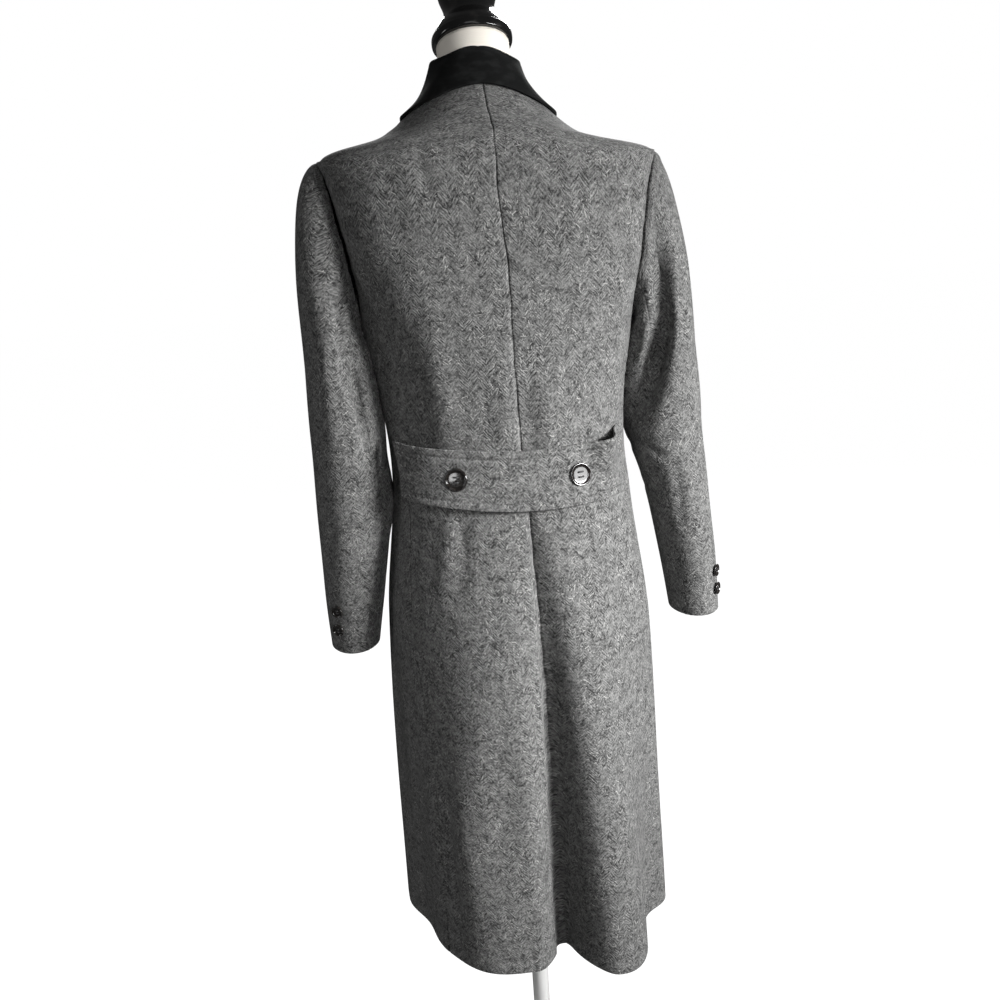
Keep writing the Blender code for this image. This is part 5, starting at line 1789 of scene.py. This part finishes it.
horn = make_horn()
button_points, button_faces = pierced_button()
thread_arch = np.linspace(-1, 1, THREAD_STEPS)
thread_rise = THREAD_ARCH * (1 - thread_arch**4) - THREAD_DIP * thread_arch**8
thread_paths = []
for node in BUTTON_NODES:
    seat, turn, radius, height = button_frame(node)
    sized = button_points * (radius, radius, height)
    button = add_piece(f"{node}_horn", seat + sized @ turn.T, button_faces, horn, "horn", [node])
    button.data.set_sharp_from_angle(angle=BUTTON_SHARP_ANGLE)
    for y in (-HOLE_PLACE, HOLE_PLACE):
        bar = np.full((THREAD_STEPS, 3), y * radius)
        bar[:, 0] = HOLE_PLACE * thread_arch * radius
        bar[:, 2] = height * THREAD_FACE + radius * thread_rise
        thread_paths.append(seat + bar @ turn.T)
THREAD_TREE, THREAD_INPUTS = make_thread_tree()
thread_size = 2 * THREAD_SHARE * float(button_frame("belt_button_left")[2])
thread_values = {"Thickness": thread_size, "Material": thread}
grown(path_object("button_threads", thread_paths), THREAD_TREE, THREAD_INPUTS, thread_values)


# Floor, light and camera.
# A plain pale floor and room. Two soft lights stand behind on the wearer's right, as from a window, with a
# weak one straight behind and one overhead; two lamps light the wearer's left and a large one the front.
# The camera stands behind the coat, a little above its shoulders.
FLOOR_HALF = 14.0
FLOOR_GLOW = 0.99
FLOOR_PALE = (0.14, 0.14, 0.14, 1.0)
FLOOR_ROUGHNESS = (0.88, 0.96)
SKY_PALE = (1.0, 1.0, 1.0, 1.0)
ROOM_LIGHT = 0.06
FULL_SPREAD = 180
Lamp = namedtuple("Lamp", "name place aim size power spread")
LAMPS = (
    Lamp("window", (-1.74, 1.42, 1.60), (-0.03, 0.05, 0.86), (0.9, 0.6), 14.6, 56),
    Lamp("window_low", (-1.63, 1.68, 1.16), (0.0, 0.05, 1.06), (0.40, 0.30), 3.0, FULL_SPREAD),
    Lamp("room_side", (-0.35, 2.20, 1.45), (0.0, 0.10, 0.86), (0.5, 0.5), 0.9, 44),
    Lamp("ceiling", (0.2, 1.5, 2.4), (0.0, 0.0, 1.0), (0.8, 0.5), 1.2, FULL_SPREAD),
    Lamp("left_lamp", (1.28, 1.95, 1.06), (0.0, 0.0, 1.05), (0.16, 0.16), 0.6, FULL_SPREAD),
    Lamp("side_lamp", (2.2, 0.3, 1.2), (0.1, 0.0, 1.0), (0.3, 1.6), 6.0, FULL_SPREAD),
    Lamp("front_lamp", (-0.45, -2.3, 2.45), (0.0, 0.0, 0.9), (1.2, 0.8), 58.0, FULL_SPREAD),
)
PHOTO_PIXELS = 1000
FOCAL_PIXELS = 1078
CAMERA_DISTANCE = 1.38
CAMERA_ROUND = math.radians(6.5)
CAMERA_YAW = math.radians(-0.5)
CAMERA_PITCH = math.radians(15.6)
CAMERA_ROLL = math.radians(-3.9)
CAMERA_HEIGHT = 1.384


def make_floor():
    made, tree, shader, place = new_material("pale_floor")
    cloud = mottled(tree, place, scale=1.5)
    seen = put(tree, "ShaderNodeLightPath").outputs["Is Camera Ray"]
    shading = {
        "Base Color": FLOOR_PALE,
        "Roughness": between(tree, cloud, *FLOOR_ROUGHNESS),
        "Specular IOR Level": 0.0,
        "Emission Color": SKY_PALE,
        "Emission Strength": product(tree, seen, FLOOR_GLOW),
    }
    feed(tree, shader, shading)
    corners = [(x * FLOOR_HALF, y * FLOOR_HALF, 0.0) for x, y in ((-1, -1), (1, -1), (1, 1), (-1, 1))]
    mesh = bpy.data.meshes.new("floor")
    mesh.from_pydata(corners, [], [(0, 1, 2, 3)])
    mesh.materials.append(made)
    floor = bpy.data.objects.new("floor", mesh)
    bpy.context.scene.collection.objects.link(floor)


def make_room():
    """Pale surroundings that light the coat only dimly."""
    world = bpy.data.worlds.new("room")
    bpy.context.scene.world = world
    world.use_nodes = True
    tree = world.node_tree
    seen = put(tree, "ShaderNodeLightPath").outputs["Is Camera Ray"]
    strength = ranged(tree, seen, 0.0, 1.0, ROOM_LIGHT, 1.0)
    feed(tree, tree.nodes["Background"], {"Color": SKY_PALE, "Strength": strength})


def make_lamp(lamp):
    light = bpy.data.lights.new(lamp.name, "AREA")
    light.shape = "RECTANGLE"
    light.size, light.size_y = lamp.size
    light.energy = lamp.power
    light.spread = math.radians(lamp.spread)
    made = bpy.data.objects.new(lamp.name, light)
    made.location = lamp.place
    ahead = Vector(lamp.aim) - Vector(lamp.place)
    made.rotation_euler = ahead.to_track_quat("-Z", "Y").to_euler()
    bpy.context.scene.collection.objects.link(made)


def make_camera():
    heading = CAMERA_ROUND + CAMERA_YAW
    level_way = Vector((-math.sin(heading), -math.cos(heading), 0.0))
    ahead = math.cos(CAMERA_PITCH) * level_way + math.sin(CAMERA_PITCH) * Vector((0, 0, -1))
    right = ahead.cross(Vector((0, 0, 1))).normalized()
    upward = right.cross(ahead)
    rolled_right = math.cos(CAMERA_ROLL) * right + math.sin(CAMERA_ROLL) * upward
    rolled_up = -math.sin(CAMERA_ROLL) * right + math.cos(CAMERA_ROLL) * upward
    data = bpy.data.cameras.new("camera")
    data.lens = data.sensor_width * FOCAL_PIXELS / PHOTO_PIXELS
    camera = bpy.data.objects.new("camera", data)
    turn = Matrix((rolled_right, rolled_up, -ahead)).transposed().to_4x4()
    stand = Vector((math.sin(CAMERA_ROUND), math.cos(CAMERA_ROUND), 0)) * CAMERA_DISTANCE
    camera.matrix_world = Matrix.Translation(stand + Vector((0, 0, CAMERA_HEIGHT))) @ turn
    bpy.context.scene.collection.objects.link(camera)
    bpy.context.scene.camera = camera


make_floor()
make_room()
for lamp in LAMPS:
    make_lamp(lamp)
make_camera()
bpy.context.scene.view_settings.view_transform = "Standard"
